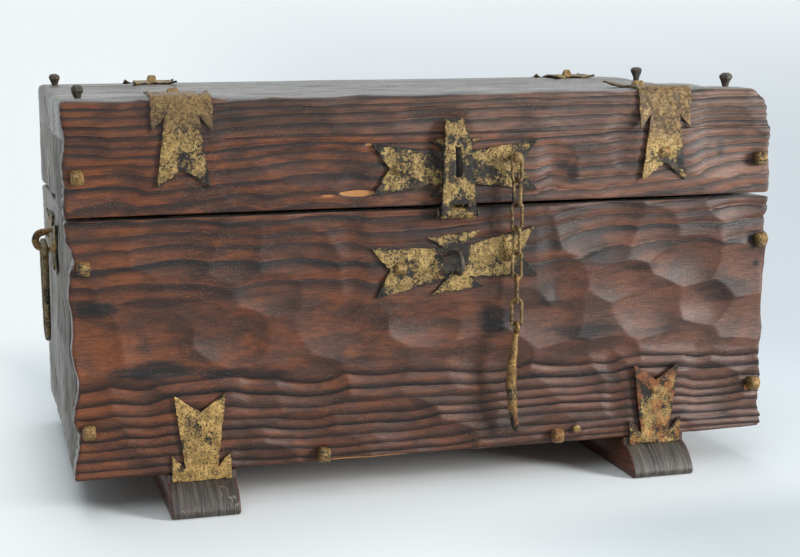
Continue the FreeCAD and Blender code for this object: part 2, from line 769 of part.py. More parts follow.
pieces = {}
pieces.update(box_of_boards("base", BASE_LOW, BASE_HIGH))
pieces["bottom_board"] = board(
    "bottom_plank", negative(INNER_WIDTH), INNER_WIDTH, negative(INNER_DEPTH), INNER_DEPTH,
    BASE_LOW, f"{BASE_LOW} + bottom_thick")
pieces.update(box_of_boards("lid", LID_LOW, FRAME_HIGH))
pieces["lid_top_board"] = board(
    "lid_top_plank", negative(HALF_WIDTH), HALF_WIDTH, negative(HALF_DEPTH), HALF_DEPTH,
    FRAME_HIGH, LID_HIGH)
pieces["left_runner"] = runner("left_runner_body", "-runner_left")
pieces["right_runner"] = runner("right_runner_body", "runner_right")

FRONT_Y = negative(HALF_DEPTH)
BACK_Y = HALF_DEPTH
BRACKET_Z = f"{BASE_LOW} - toe_top_drop"

pieces["left_foot_bracket"] = foot_bracket(
    "left_foot_bracket_body", ("-runner_left", FRONT_Y, BRACKET_Z), "front")
pieces["right_foot_bracket"] = foot_bracket(
    "right_foot_bracket_body", ("runner_right", FRONT_Y, BRACKET_Z), "front")
pieces["left_lid_strap"] = folded_strap(
    "left_lid_strap_body", ("-strap_left", FRONT_Y, LID_HIGH), "front")
pieces["right_lid_strap"] = folded_strap(
    "right_lid_strap_body", ("strap_right", FRONT_Y, LID_HIGH), "front")
pieces["left_hinge_strap"] = hinge_strap(
    "left_hinge_strap_body", ("-hinge_left", BACK_Y, LID_HIGH), "back")
pieces["right_hinge_strap"] = hinge_strap(
    "right_hinge_strap_body", ("hinge_right", BACK_Y, LID_HIGH), "back")
pieces["left_hinge_plate"] = base_hinge_plate(
    "left_hinge_plate_body", ("-hinge_left", BACK_Y, HINGE_AXIS), "back")
pieces["right_hinge_plate"] = base_hinge_plate(
    "right_hinge_plate_body", ("hinge_right", BACK_Y, HINGE_AXIS), "back")
pieces["left_hinge_pin"] = pin("left_hinge_pin", ("-hinge_left", f"{BACK_Y} + {HINGE_OUT}", HINGE_AXIS))
pieces["right_hinge_pin"] = pin("right_hinge_pin", ("hinge_right", f"{BACK_Y} + {HINGE_OUT}", HINGE_AXIS))

pieces["hasp_plate"] = hasp_plate("hasp_plate_body", ("lock_place", FRONT_Y, HASP_PLATE_Z), "front")
pieces["hasp"] = hasp("hasp", ("lock_place", FRONT_Y, HASP_AXIS_Z), "front")
pieces["hasp_pin"] = pin("hasp_pin", ("lock_place", f"{FRONT_Y} - {HASP_OUT}", HASP_AXIS_Z))
pieces["catch_plate"] = cross_plate(
    "catch_plate_body", ("lock_place", FRONT_Y, CATCH_Z), "front", tilt="catch_tilt")
pieces["catch_staple"] = staple(
    "catch_staple", ("lock_place", f"{FRONT_Y} - sheet", CATCH_Z), "front", "staple_out")
staple_holes("catch_staple", ("lock_place", f"{FRONT_Y} - sheet", CATCH_Z), "front",
             ["catch_plate", "base_front_board"])

STAPLE_EYE = f"({STAPLE_ROUND} - staple_radius)"
LOOP_OUT = f"(sheet + handle_staple_out - {STAPLE_ROUND} - staple_radius)"
LOOP_Z = f"({HANDLE_Z} - {STAPLE_EYE} + loop_radius + loop_gap)"
for side, sign in (("left", "-"), ("right", "")):
    wall = f"{sign}{HALF_WIDTH}"
    face = f"{sign}({HALF_WIDTH} + sheet)"
    pieces[f"{side}_handle_plate"] = cross_plate(f"{side}_handle_plate_body", (wall, "0", HANDLE_Z), side)
    pieces[f"{side}_handle_staple"] = staple(
        f"{side}_handle_staple", (face, "0", HANDLE_Z), side, "handle_staple_out")
    staple_holes(f"{side}_handle_staple", (face, "0", HANDLE_Z), side,
                 [f"{side}_handle_plate", f"base_{side}_end_board"])
    loop = bar_ring(
        f"{side}_handle_loop", "(loop_wide / 2)", "loop_long", "loop_top_round",
        "loop_bottom_round", "loop_radius", straight=True)
    place(loop, (f"{sign}({HALF_WIDTH} + {LOOP_OUT})", "0", LOOP_Z),
          FreeCAD.Rotation(FreeCAD.Vector(0, 0, 1), 90))
    pieces[f"{side}_handle_loop"] = loop

for number in range(1, int(value("link_count")) + 1):
    pieces[f"chain_link_{number}"] = chain_link(f"link{number}", number)
pieces["locking_peg"] = locking_peg("peg")

# ---- nailing --------------------------------------------------------------------------------------

END_MIDDLE = f"({HALF_WIDTH} - board / 2)"
LID_NAIL_Z = f"{LID_LOW} + lid_frame_tall / 2"
BOTTOM_NAIL_Z = f"{BASE_LOW} + bottom_nail_rise"

for wall, wall_y in (("front", FRONT_Y), ("back", BACK_Y)):
    for end, x in (("left", negative(END_MIDDLE)), ("right", END_MIDDLE)):
        for height in ("corner_nail_high", "corner_nail_low"):
            drive(f"base_{wall}_nails", "board_nail", (x, wall_y, f"{BASE_LOW} + {height}"), wall,
                  [f"base_{wall}_board", f"base_{end}_end_board"])
        drive(f"lid_{wall}_nails", "board_nail", (x, wall_y, LID_NAIL_Z), wall,
              [f"lid_{wall}_board", f"lid_{end}_end_board"])
    for x in ("-bottom_nail_left", "bottom_nail_right"):
        drive(f"base_{wall}_nails", "board_nail", (x, wall_y, BOTTOM_NAIL_Z), wall,
              [f"base_{wall}_board", "bottom_board"])
drive("bottom_plug_nail", "round_nail", ("plug_place", FRONT_Y, f"{BASE_LOW} + plug_rise"), "front",
      ["base_front_board"])

for end, x in (("left", f"-{HALF_WIDTH} + stud_side_inset"), ("right", f"{HALF_WIDTH} - stud_side_inset")):
    for y in (f"{FRONT_Y} + stud_{end}_front", f"{BACK_Y} - stud_{end}_back"):
        drive("lid_corner_studs", "corner_stud", (x, y, LID_HIGH), "top",
              ["lid_top_board", f"lid_{end}_end_board"])

PLATE_FRONT = f"{FRONT_Y} - sheet"
PLATE_BACK = f"{BACK_Y} + sheet"
PLATE_TOP = f"{LID_HIGH} + sheet"
HINGE_PLATE_NAIL_Z = f"{HINGE_AXIS} - {SHEET_KNUCKLE} - knuckle_gap - band_half - {TAIL_NAIL}"
for strap, x in (("left_lid_strap", "-strap_left"), ("right_lid_strap", "strap_right")):
    drive("lid_strap_nails", "plate_nail", (x, f"{FRONT_Y} + {TAIL_NAIL}", PLATE_TOP), "top",
          [strap, "lid_top_board"])
drive("lid_strap_nails", "plate_nail",
      ("strap_right", PLATE_FRONT, f"{LID_HIGH} - {TAIL_NAIL}"), "front",
      ["right_lid_strap", "lid_front_board"])
for hand, x in (("left", "-hinge_left"), ("right", "hinge_right")):
    drive("hinge_strap_nails", "plate_nail", (x, f"{BACK_Y} - {TAIL_NAIL}", PLATE_TOP), "top",
          [f"{hand}_hinge_strap", "lid_top_board"])
    drive("hinge_strap_nails", "plate_nail", (x, PLATE_BACK, f"{LID_HIGH} - {TAIL_NAIL}"), "back",
          [f"{hand}_hinge_strap", "lid_back_board"])
    drive("hinge_plate_nails", "plate_nail", (x, PLATE_BACK, HINGE_PLATE_NAIL_Z), "back",
          [f"{hand}_hinge_plate", "base_back_board"])
for hand, x in (("left", "-runner_left"), ("right", "runner_right")):
    drive("foot_bracket_nails", "plate_nail", (x, PLATE_FRONT, f"{BRACKET_Z} + {TAIL_NAIL}"), "front",
          [f"{hand}_foot_bracket", "base_front_board"])

drive("hasp_plate_nail", "plate_nail", (f"lock_place - {TAIL_NAIL}", PLATE_FRONT, HASP_PLATE_Z), "front",
      ["hasp_plate", "lid_front_board"])
drive("chain_nail", "chain_nail", (CHAIN_X, PLATE_FRONT, CHAIN_NAIL_Z), "front",
      ["hasp_plate", "lid_front_board"])
for sign in ("-", "+"):
    along = f"lock_place {sign} {TAIL_NAIL} * cos(catch_tilt * 1 deg)"
    up = f"{CATCH_Z} {sign} {TAIL_NAIL} * sin(catch_tilt * 1 deg)"
    drive("catch_plate_nails", "plate_nail", (along, PLATE_FRONT, up), "front",
          ["catch_plate", "base_front_board"])
for side, sign in (("left", "-"), ("right", "")):
    for y in (negative(TAIL_NAIL), TAIL_NAIL):
        drive(f"{side}_handle_nails", "plate_nail", (f"{sign}({HALF_WIDTH} + sheet)", y, HANDLE_Z), side,
              [f"{side}_handle_plate", f"base_{side}_end_board"])

for label, holes in drilled.items():
    pieces[label] = cut(label + "_drilled", pieces[label], *holes)
for label, links in nail_groups.items():
    group = doc.addObject("Part::Compound", label + "_set")
    group.Links = links
    pieces[label] = group
for label, piece in pieces.items():
    piece.Label = label

# ---- check and write ------------------------------------------------------------------------------

doc.recompute()
for thing in doc.Objects:
    if "Invalid" in thing.State or "Error" in thing.State:
        raise RuntimeError(f"{thing.Name} failed: {thing.State}")

os.makedirs("parts", exist_ok=True)
for label, piece in pieces.items():
    shape = piece.Shape
    if shape.isNull() or not shape.isValid():
        raise RuntimeError(f"{label} has no valid shape")
    shape.exportStep(f"parts/{label}.step")
    box = shape.BoundBox
    print(f"{label:24s} solids {len(shape.Solids)} volume {shape.Volume:12.1f} "
          f"x {box.XMin:8.2f} {box.XMax:8.2f} y {box.YMin:8.2f} {box.YMax:8.2f} "
          f"z {box.ZMin:8.2f} {box.ZMax:8.2f}")
print(len(pieces), "nodes")
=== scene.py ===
import math

import bmesh
import bpy
import numpy as np
from mathutils import Matrix, Vector


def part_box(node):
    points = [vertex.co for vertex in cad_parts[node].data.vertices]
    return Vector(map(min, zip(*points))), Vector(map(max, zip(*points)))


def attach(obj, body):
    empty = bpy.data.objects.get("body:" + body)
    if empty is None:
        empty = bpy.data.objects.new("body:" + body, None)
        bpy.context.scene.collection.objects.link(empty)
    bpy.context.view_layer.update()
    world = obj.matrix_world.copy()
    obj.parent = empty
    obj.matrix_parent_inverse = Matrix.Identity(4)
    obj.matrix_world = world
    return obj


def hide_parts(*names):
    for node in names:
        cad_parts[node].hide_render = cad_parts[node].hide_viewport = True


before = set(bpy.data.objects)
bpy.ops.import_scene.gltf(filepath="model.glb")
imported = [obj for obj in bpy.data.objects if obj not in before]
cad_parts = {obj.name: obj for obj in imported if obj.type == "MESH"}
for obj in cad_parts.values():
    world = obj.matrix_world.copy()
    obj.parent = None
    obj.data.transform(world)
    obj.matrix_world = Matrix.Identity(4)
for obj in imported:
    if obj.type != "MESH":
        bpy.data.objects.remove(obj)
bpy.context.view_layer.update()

# Looks of the coffer chest: hewn and worn boards, flaking gilt ironwork, and a pale studio.
# Lengths are in millimetres until a mesh is made.  +X is to the right seen from the front,
# +Y to the back, +Z up.

MM = 0.001

# The swallow-tailed cross that the fittings are cut from.
SHEET = 2.0
ARM_REACH = 73.0
TAIL_HALF = 21.5
TAIL_NOTCH = 15.0
WAIST_HALF = 13.5
BAND_HALF = 24.5
BAND_REACH = 23.0
SLIT_START = 10.0
CATCH_TILT = math.radians(5)
TONGUE_HALF = 7.0
EAR_GAP = 0.4
EAR_WIDE = 8.0


def span(node):
    """Lowest and highest corner of a CAD node."""
    low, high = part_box(node)
    return np.array(low) / MM, np.array(high) / MM


def middle(node):
    """The middle of a CAD node's box."""
    low, high = span(node)
    return (low + high) / 2


BASE_LOW, BASE_HIGH = span("base_front_board")
BASE_HIGH[1] = span("base_back_board")[1][1]
LID_LOW = span("lid_front_board")[0]
LID_HIGH = span("lid_top_board")[1]

# Each side of the chest: the way to its right, the way up it and the way out of it.
SIDES = {
    "front": ((1, 0, 0), (0, 0, 1), (0, -1, 0)),
    "back": ((-1, 0, 0), (0, 0, 1), (0, 1, 0)),
    "left": ((0, -1, 0), (0, 0, 1), (-1, 0, 0)),
    "right": ((0, 1, 0), (0, 0, 1), (1, 0, 0)),
    "top": ((1, 0, 0), (0, 1, 0), (0, 0, 1)),
    "bottom": ((1, 0, 0), (0, -1, 0), (0, 0, -1)),
}


def set_on(side, at, points):
    """Points given as right, up and out on one side of the chest, put at a place."""
    return np.asarray(at, float) + np.asarray(points, float) @ np.array(SIDES[side], float)


# The side of the chest that a fitting lies on, as the axis out of it and where it lies.
WALLS = {
    "front": (1, BASE_LOW[1]), "back": (1, BASE_HIGH[1]), "left": (0, BASE_LOW[0]),
    "right": (0, BASE_HIGH[0]), "top": (2, LID_HIGH[2]),
}


def on_side(point, side):
    """A point moved straight out or in to one side of the chest."""
    axis, plane = WALLS[side]
    moved = np.array(point, float)
    moved[axis] = plane
    return moved


def on_wall(node, side):
    """The middle of a CAD node, on one side of the chest."""
    return on_side(middle(node), side)


# ---- smooth random fields ---------------------------------------------------------------------

WAVES = 7


def smooth_noise(seed, points, lengths, octaves=2):
    """A smooth random value of about -1 to 1 at each point, with lumps as long as lengths."""
    rng = np.random.default_rng(seed)
    points = np.asarray(points, float)
    lengths = np.asarray(lengths, float)
    total = np.zeros(len(points))
    strength = 1.0
    for octave in range(octaves):
        for _ in range(WAVES):
            way = rng.normal(size=points.shape[1])
            way *= 2 ** octave * math.pi / (np.linalg.norm(way) * lengths)
            total += strength * np.cos(points @ way + rng.uniform(0, math.tau))
        strength *= 0.5
    return total / (WAVES * 0.55)


def fade(value, start, end):
    """0 before start, 1 after end, and smooth between."""
    share = np.clip((value - start) / (end - start), 0, 1)
    return share * share * (3 - 2 * share)


# ---- how the boards were hewn -----------------------------------------------------------------

def scoops(seed, u_range, v_range, cell, reach, depths):
    """Rounded cuts of a gouge over one side, as a function that gives the depth at u, v."""
    rng = np.random.default_rng(seed)
    marks = []
    rows = int((v_range[1] - v_range[0]) / cell[1]) + 2
    columns = int((u_range[1] - u_range[0]) / cell[0]) + 2
    for row in range(rows):
        for column in range(columns):
            u = u_range[0] + (column + rng.uniform(-0.3, 0.3) + 0.5 * (row % 2)) * cell[0]
            v = v_range[0] + (row + rng.uniform(-0.3, 0.3)) * cell[1]
            scale = rng.uniform(0.8, 1.2)
            marks.append((u, v, reach[0] * scale, reach[1] * scale, rng.uniform(*depths)))

    def depth(u, v):
        deepest = np.zeros(len(u))
        for mark_u, mark_v, long, wide, deep in marks:
            run = (u - mark_u) / long
            run = np.where(run > 0, run * 1.35, run * 0.85)
            hollow = deep * (1 - run ** 2 - ((v - mark_v) / wide) ** 2)
            deepest = np.maximum(deepest, hollow)
        return deepest

    return depth


# How far round a fitting the wood is kept flat, and the share of a cut that is left under it.
FITTING_MARGIN = 20.0
CUT_UNDER = 0.12


def flat_under(nodes, axis):
    """Where fittings lie on one side, as a function from 1 on open wood to 0 under them."""
    u_axis, v_axis = [i for i in range(3) if i != axis]
    boxes = [span(node) for node in nodes]

    def open_wood(u, v):
        free = np.ones(len(u))
        for low, high in boxes:
            beyond_u = np.maximum(low[u_axis] - u, u - high[u_axis])
            beyond_v = np.maximum(low[v_axis] - v, v - high[v_axis])
            free = np.minimum(free, fade(np.maximum(beyond_u, beyond_v), -2, FITTING_MARGIN))
        return free

    return open_wood


# How far the corner edges at the front stand in from the square box, by height.  A negative
# value stands out from it.
LEFT_EDGE = [
    (31, 0), (43, 1), (58, 4.8), (71, 5.5), (80, 1.2), (91, 2.3), (105, 6.0), (115, 6.2), (127, 3.4),
    (140, 1.3), (152, 3.1), (168, 3.1), (182, 0.6), (204, 2.7), (213, 6.6), (221, 4.6), (230, 0.6),
    (245, 0), (260, 0), (273, 1.2), (283, 0), (293, 0), (303, 2.3), (313, 2.8), (323, 0.4), (341, 0),
]
RIGHT_EDGE = [
    (31, -1.5), (42, -2.2), (51, 1.5), (62, 1.5), (79, -1.4), (90, 0.7), (100, 1.9), (110, 0.5),
    (124, -1.9), (136, -0.5), (155, 0.8), (172, -0.7), (183, -2.5), (199, -2.2), (208, -2.5),
    (217, 0), (225, 0), (232, -2.2), (245, -2.5), (267, -2.5), (284, -1.7), (293, -1.9), (301, -2.5),
    (307, -2), (312, 0.9), (319, 1.9), (341, 2.5),
]
EDGE_REACH = 70.0
# How much shallower the cuts on the ends are at the back and near the floor, and how far the
# ends and the plank stand out at the back.
BACK_CALM = 0.85
FLOOR_CALM = 0.8
END_SWELL = 1.0
PLANK_SWELL = 1.6


def end_cut(edge, cut):
    """The depth over an end: the front corner's own line, then the gouge's cuts, less at the back."""
    heights, insets = zip(*edge)

    def depth(y, z):
        near_front = 1 - fade(y, DEEP[0] + 8, DEEP[0] + EDGE_REACH)
        near_back = fade(y, 90, 160)
        near_floor = 1 - fade(z, 34, 60)
        calm = cut(y, z) * (1 - BACK_CALM * near_back) * (1 - FLOOR_CALM * near_floor)
        calm -= END_SWELL * near_back
        return np.interp(z, heights, insets) * near_front + calm * (1 - near_front)

    return depth


def top_cut(cut):
    """The depth over the plank: hardly any along the back edge, which stands highest."""
    def depth(x, y):
        near_back = fade(y, 40, 130)
        return cut(x, y) * (1 - near_back) - PLANK_SWELL * near_back

    return depth


def masked(cut, open_wood):
    """The depth of the cuts, with hardly any left under the fittings."""
    return lambda u, v: cut(u, v) * (CUT_UNDER + (1 - CUT_UNDER) * open_wood(u, v))


FRONT_FITTINGS = [
    "left_foot_bracket", "right_foot_bracket", "catch_plate", "hasp_plate",
    "left_lid_strap", "right_lid_strap",
]
BACK_FITTINGS = [
    "left_hinge_strap", "right_hinge_strap", "left_hinge_plate", "right_hinge_plate",
    "left_hinge_pin", "right_hinge_pin",
]
TOP_FITTINGS = ["left_lid_strap", "right_lid_strap", "left_hinge_strap", "right_hinge_strap"]
FRONT_OPEN = flat_under(FRONT_FITTINGS, axis=1)
BACK_OPEN = flat_under(BACK_FITTINGS, axis=1)
TOP_OPEN = flat_under(TOP_FITTINGS, axis=2)
LEFT_OPEN = flat_under(["left_handle_plate"], axis=0)
RIGHT_OPEN = flat_under(["right_handle_plate"], axis=0)

# The ranges that the gouge's cuts are spread over: across, from front to back, and upwards.
WIDE = (-310, 310)
DEEP = (-175, 175)
BASE_TALL = (32, 245)
LID_TALL = (248, 344)

# The cuts on each side of the base and the lid, a side being an axis and the way out along it.
BASE_CUTS = {
    (1, -1): masked(scoops(11, WIDE, BASE_TALL, (54, 37), (43, 29), (2.4, 7.6)), FRONT_OPEN),
    (1, 1): masked(scoops(12, WIDE, BASE_TALL, (62, 42), (48, 32), (1.6, 4.6)), BACK_OPEN),
    (0, -1): end_cut(LEFT_EDGE, masked(
        scoops(13, DEEP, BASE_TALL, (44, 60), (33, 46), (1.5, 5.0)), LEFT_OPEN)),
    (0, 1): end_cut(RIGHT_EDGE, masked(
        scoops(14, DEEP, BASE_TALL, (44, 60), (33, 46), (1.5, 5.0)), RIGHT_OPEN)),
}
LID_CUTS = {
    (1, -1): masked(scoops(21, WIDE, LID_TALL, (62, 33), (50, 26), (1.2, 4.8)), FRONT_OPEN),
    (1, 1): masked(scoops(22, WIDE, LID_TALL, (66, 36), (52, 27), (0.8, 3.4)), BACK_OPEN),
    (0, -1): end_cut(LEFT_EDGE, scoops(23, DEEP, LID_TALL, (42, 60), (32, 46), (1.0, 3.6))),
    (0, 1): end_cut(RIGHT_EDGE, scoops(24, DEEP, LID_TALL, (42, 60), (32, 46), (1.0, 3.6))),
    (2, 1): top_cut(masked(scoops(25, WIDE, DEEP, (74, 44), (58, 33), (0.8, 3.2)), TOP_OPEN)),
}
# How far into a board the cuts and the grooves of the rings still move its points.
CUT_REACH = 20.0
GROOVE_REACH = 5.0
# The relief of a growth ring: a groove at its line, as wide as this share of a ring, then a
# hollow band that steps down to the next line.  Each ring's groove has a depth of its own.
GROOVE_DEEP = 0.75
GROOVE_WIDE = 0.13
BAND_CROWN = 0.3
BAND_STEP = 0.5
RING_DEPTHS = np.random.default_rng(92).uniform(0.35, 1.25, 400)


def worn_edges(upright, tops, bottom):
    """Edges that are worn round: two sides each, as axis and way, and the radius.

    tops are the radii along the top, in the order front, back, left, right.
    """
    walls = [(1, -1), (1, 1), (0, -1), (0, 1)]
    edges = [(end, wall, upright) for wall in walls[:2] for end in walls[2:]]
    edges += [(wall, (2, 1), radius) for wall, radius in zip(walls, tops)]
    return edges + [(wall, (2, -1), bottom) for wall in walls]


BASE_ROUNDS = worn_edges(3.0, (2.0, 2.0, 2.0, 2.0), 2.5)
LID_ROUNDS = worn_edges(3.0, (5.0, 5.0, 5.0, 21.0), 2.0)


def inside(points, low, high, way):
    """How far points lie in from one side of a box."""
    axis, sign = way
    plane = high[axis] if sign > 0 else low[axis]
    return (plane - points[:, axis]) * sign


def round_edge(points, moved, low, high, first, second, radius):
    """Bend the square along one edge of a box into a quarter circle."""
    from_first = np.clip(radius - inside(points, low, high, first), 0, None)
    from_second = np.clip(radius - inside(points, low, high, second), 0, None)
    length = np.hypot(from_first, from_second)
    share = np.where(length > 0, np.maximum(from_first, from_second) / np.maximum(length, 1e-9), 1)
    moved[:, first[0]] -= first[1] * from_first * (1 - share)
    moved[:, second[0]] -= second[1] * from_second * (1 - share)


def ring_relief(points, ring):
    """How deep the wood is worn at each point, from where it lies in its growth ring."""
    share = ring % 1
    to_line = np.minimum(share, 1 - share)
    own = RING_DEPTHS[np.round(ring).astype(int) % len(RING_DEPTHS)]
    groove = GROOVE_DEEP * own * np.exp(-(to_line / GROOVE_WIDE) ** 2)
    crown = BAND_CROWN * (1 - 4 * share * (1 - share))
    step = BAND_STEP * (fade(share, 0.04, 0.84) - fade(share, 0.86, 1.0))
    worn = 0.8 + 0.45 * smooth_noise(91, points, (90, 60, 30))
    return (groove + crown - step) * np.clip(worn, 0.2, 1.3)


def hew(points, low, high, cuts, rounds, rings):
    """Move the points of squared boards to their hewn, worn shape.

    Returns the points, and for each the number of growth rings out from the pith.
    """
    moved = points.copy()
    for first, second, radius in rounds:
        round_edge(points, moved, low, high, first, second, radius)
    for (axis, sign), cut in cuts.items():
        depth = inside(points, low, high, (axis, sign))
        near = depth < CUT_REACH
        u_axis, v_axis = [i for i in range(3) if i != axis]
        deep = cut(points[near, u_axis], points[near, v_axis])
        moved[near, axis] -= sign * deep * (1 - depth[near] / CUT_REACH) ** 2
    ring = rings(moved)
    groove = ring_relief(moved, ring)
    for axis, sign in cuts:
        weight = np.clip(1 - inside(points, low, high, (axis, sign)) / GROOVE_REACH, 0, 1)
        moved[:, axis] -= sign * groove * weight
    return moved, ring


def log_rings(pith_y, pith_z, spacing, wander, seed, line_at, uneven, wider_above=0.0, first=-40.0):
    """Growth rings of a board whose grain runs along X; the pith is a line, as functions of x.

    No ring closer to the pith than the first one is reached, so that hollows stay plain.
    """
    def rings(points):
        x = points[:, 0]
        radius = np.hypot(points[:, 1] - pith_y(x), points[:, 2] - pith_z(x)) - line_at
        slow = smooth_noise(seed, points, (230, 110, 110))
        quick = smooth_noise(seed + 1, points, (60, 24, 24))
        wide_and_narrow = np.sin(radius / 9.3) + np.sin(radius / 5.1 + 1.0)
        above = 2 * fade(points[:, 2] - pith_z(x), -60, 60) - 1
        spacings = spacing * (1 + wider_above * above)
        number = (radius + wander * slow + 0.45 * quick + uneven * wide_and_narrow) / spacings
        return 60 + first + 0.07 * np.logaddexp(0, (number - first) / 0.07)
    return rings


def end_rings(pith_x, pith_y, spacing, wander, seed):
    """Growth rings of a board whose grain runs up Z."""
    def rings(points):
        radius = np.hypot(points[:, 0] - pith_x, points[:, 1] - pith_y)
        slow = smooth_noise(seed, points, (90, 90, 200))
        quick = smooth_noise(seed + 1, points, (24, 24, 50))
        return (radius + wander * slow + 0.5 * quick) / spacing
    return rings


BASE_FRONT_RINGS = log_rings(
    lambda x: DEEP[0] + 79 - 7 * fade(x, 20, 320), lambda x: 146 + 8 * fade(x, -120, 220),
    7.3, 1.6, 31, line_at=82.0, uneven=0.7, wider_above=0.15, first=0.15)
BASE_BACK_RINGS = log_rings(
    lambda x: DEEP[1] - 70 + 10 * fade(x, -200, 100), lambda x: 112 + 0.04 * x,
    6.6, 2.2, 35, line_at=72.0, uneven=0.8)
LID_RINGS = log_rings(
    lambda x: DEEP[0] + 70 - 0.02 * x, lambda x: 228 + 7 * fade(x, 100, 320),
    5.6, 2.4, 41, line_at=75.0, uneven=1.0)
LEFT_END_RINGS = end_rings(WIDE[0] + 78, 18, 6.2, 3.5, 51)
RIGHT_END_RINGS = end_rings(WIDE[1] - 84, -22, 6.4, 3.5, 55)

# What hew needs to know of each body: its box, its cuts and its worn edges.
SHAPES = {
    "base": (BASE_LOW, BASE_HIGH, BASE_CUTS, BASE_ROUNDS),
    "lid": (LID_LOW, LID_HIGH, LID_CUTS, LID_ROUNDS),
}


# ---- making meshes ----------------------------------------------------------------------------

def add_object(name, data):
    """A new object in the scene."""
    thing = bpy.data.objects.new(name, data)
    bpy.context.scene.collection.objects.link(thing)
    return thing


def make_piece(node, ending, points, faces, materials, body, slot, smooth=True, **attributes):
    """A closed skin that rides on a body and stands for a CAD node.

    Each attribute is one value, or one for every point.
    """
    name = f"{node}_{ending}"
    mesh = bpy.data.meshes.new(name)
    mesh.from_pydata((np.asarray(points) * MM).tolist(), [], faces)
    for label, values in attributes.items():
        layer = mesh.attributes.new(label, "FLOAT", "POINT")
        layer.data.foreach_set("value", np.full(len(points), values, np.float32))
    skin = bmesh.new()
    skin.from_mesh(mesh)
    bmesh.ops.recalc_face_normals(skin, faces=skin.faces)
    skin.to_mesh(mesh)
    skin.free()
    mesh.polygons.foreach_set("use_smooth", [smooth] * len(mesh.polygons))
    for material in materials:
        mesh.materials.append(material)
    piece = add_object(name, mesh)
    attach(piece, body)
    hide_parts(node)
    return piece


def board_mesh(low, high, side, steps, layers):
    """A squared board: a fine grid on one side, layered edges and one plain face behind."""
    u_axis, v_axis, axis = (int(np.flatnonzero(way)[0]) for way in SIDES[side])
    sign = SIDES[side][2][axis]
    columns = max(2, round((high[u_axis] - low[u_axis]) / steps[0]))
    rows = max(2, round((high[v_axis] - low[v_axis]) / steps[1]))
    u, v = np.meshgrid(
        np.linspace(low[u_axis], high[u_axis], columns + 1),
        np.linspace(low[v_axis], high[v_axis], rows + 1))
    front = np.zeros((u.size, 3))
    front[:, u_axis] = u.ravel()
    front[:, v_axis] = v.ravel()
    front[:, axis] = high[axis] if sign > 0 else low[axis]
    number = np.arange(u.size).reshape(rows + 1, columns + 1)
    faces = np.column_stack([
        number[:-1, :-1].ravel(), number[:-1, 1:].ravel(), number[1:, 1:].ravel(), number[1:, :-1].ravel(),
    ]).tolist()
    loop = np.concatenate([number[0, :-1], number[:-1, -1], number[-1, :0:-1], number[:0:-1, 0]])
    points = [front]
    previous = loop
    count = len(front)
    for depth in layers:
        layer = front[loop].copy()
        layer[:, axis] -= sign * depth
        points.append(layer)
        current = np.arange(count, count + len(loop))
        count += len(loop)
        faces += np.column_stack([previous, np.roll(previous, -1), np.roll(current, -1), current]).tolist()
        previous = current
    faces.append(previous[::-1].tolist())
    return np.concatenate(points), faces


# Near-black stains on the front: middle x and z, half length, half height, strength.
BASE_STAINS = [
    (-292, 173, 24, 8, 1.0), (-236, 177, 42, 4.5, 0.8), (-172, 180, 34, 3.5, 0.5),
    (-242, 120, 32, 7, 1.0), (-186, 115, 30, 4, 0.8), (-262, 118, 14, 9, 0.6), (-150, 112, 22, 3, 0.5),
    (-206, 138, 20, 14, 0.35), (-118, 168, 26, 5, 0.5), (-60, 158, 30, 11, 0.45), (52, 147, 15, 12, 1.0),
    (-28, 148, 28, 8, 0.5), (102, 168, 10, 12, 0.75), (133, 131, 34, 6, 0.9), (205, 127, 28, 4, 0.5),
    (272, 162, 27, 11, 0.75), (252, 222, 17, 8, 0.4), (146, 206, 12, 14, 0.45), (300, 206, 8, 8, 0.9),
    (190, 186, 16, 4, 0.7), (96, 208, 20, 5, 0.5), (24, 120, 34, 4, 0.5), (-80, 118, 30, 4, 0.5),
    (302, 184, 2.6, 2.6, 1.0),
]
LID_STAINS = [
    (123, 271, 5, 9, 0.8), (264, 291, 4, 9, 0.7), (-150, 300, 60, 5, 0.35), (70, 322, 70, 6, 0.35),
    (-40, 276, 50, 3.5, 0.45), (200, 306, 40, 4, 0.4), (299, 280, 8, 7, 0.7),
]
# Places where a chip has left bare wood, as the stains.
LID_CHIPS = [(-70, 260.5, 13, 2.6, 1.0), (-60, 300.5, 2.6, 1.5, 0.9), (-95, 259, 8, 1.5, 0.5)]
BASE_CHIPS = [(296, 69, 2.0, 2.2, 1.0), (-62, 32, 38, 1.5, 0.9)]
CHIP_DEEP = 1.1
# How far in from the front a stain or a chip reaches.
BLOT_REACH = 9.0


def blots(points, places):
    """How much of each point of a front lies in a few oval places."""
    x, z = points[:, 0], points[:, 2]
    ragged = 0.22 * smooth_noise(93, points, (14, 8, 5), octaves=3)
    total = np.zeros(len(points))
    for place_x, place_z, long, tall, strength in places:
        away = np.hypot((x - place_x) / long, (z - place_z) / tall)
        total = np.maximum(total, strength * (1 - fade(away + ragged, 0.55, 1.45)))
    return total * (points[:, 1] < BASE_LOW[1] + BLOT_REACH)


def painted_reflection_and_gloss_share(points, low, high):
    """1 on the top and the ends, where a grey reflection is painted into the colour and the finish is
    glossier, and 0 on the front and back.
    """
    def nearest(axis):
        return np.minimum(inside(points, low, high, (axis, -1)), inside(points, low, high, (axis, 1)))

    to_top = inside(points, low, high, (2, 1))
    return fade(nearest(1) - 0.7 * np.minimum(to_top, nearest(0)), -0.5, 4)


def ring_stack(rings, close=True):
    """Points and faces of a skin through rings of as many points each."""
    around = len(rings[0])
    faces = []
    for row in range(len(rings) - 1):
        for column in range(around):
            after = (column + 1) % around
            faces.append([row * around + column, row * around + after,
                          (row + 1) * around + after, (row + 1) * around + column])
    if close:
        faces.append(list(range(around))[::-1])
        faces.append(list(range((len(rings) - 1) * around, len(rings) * around)))
    return np.concatenate(rings), faces


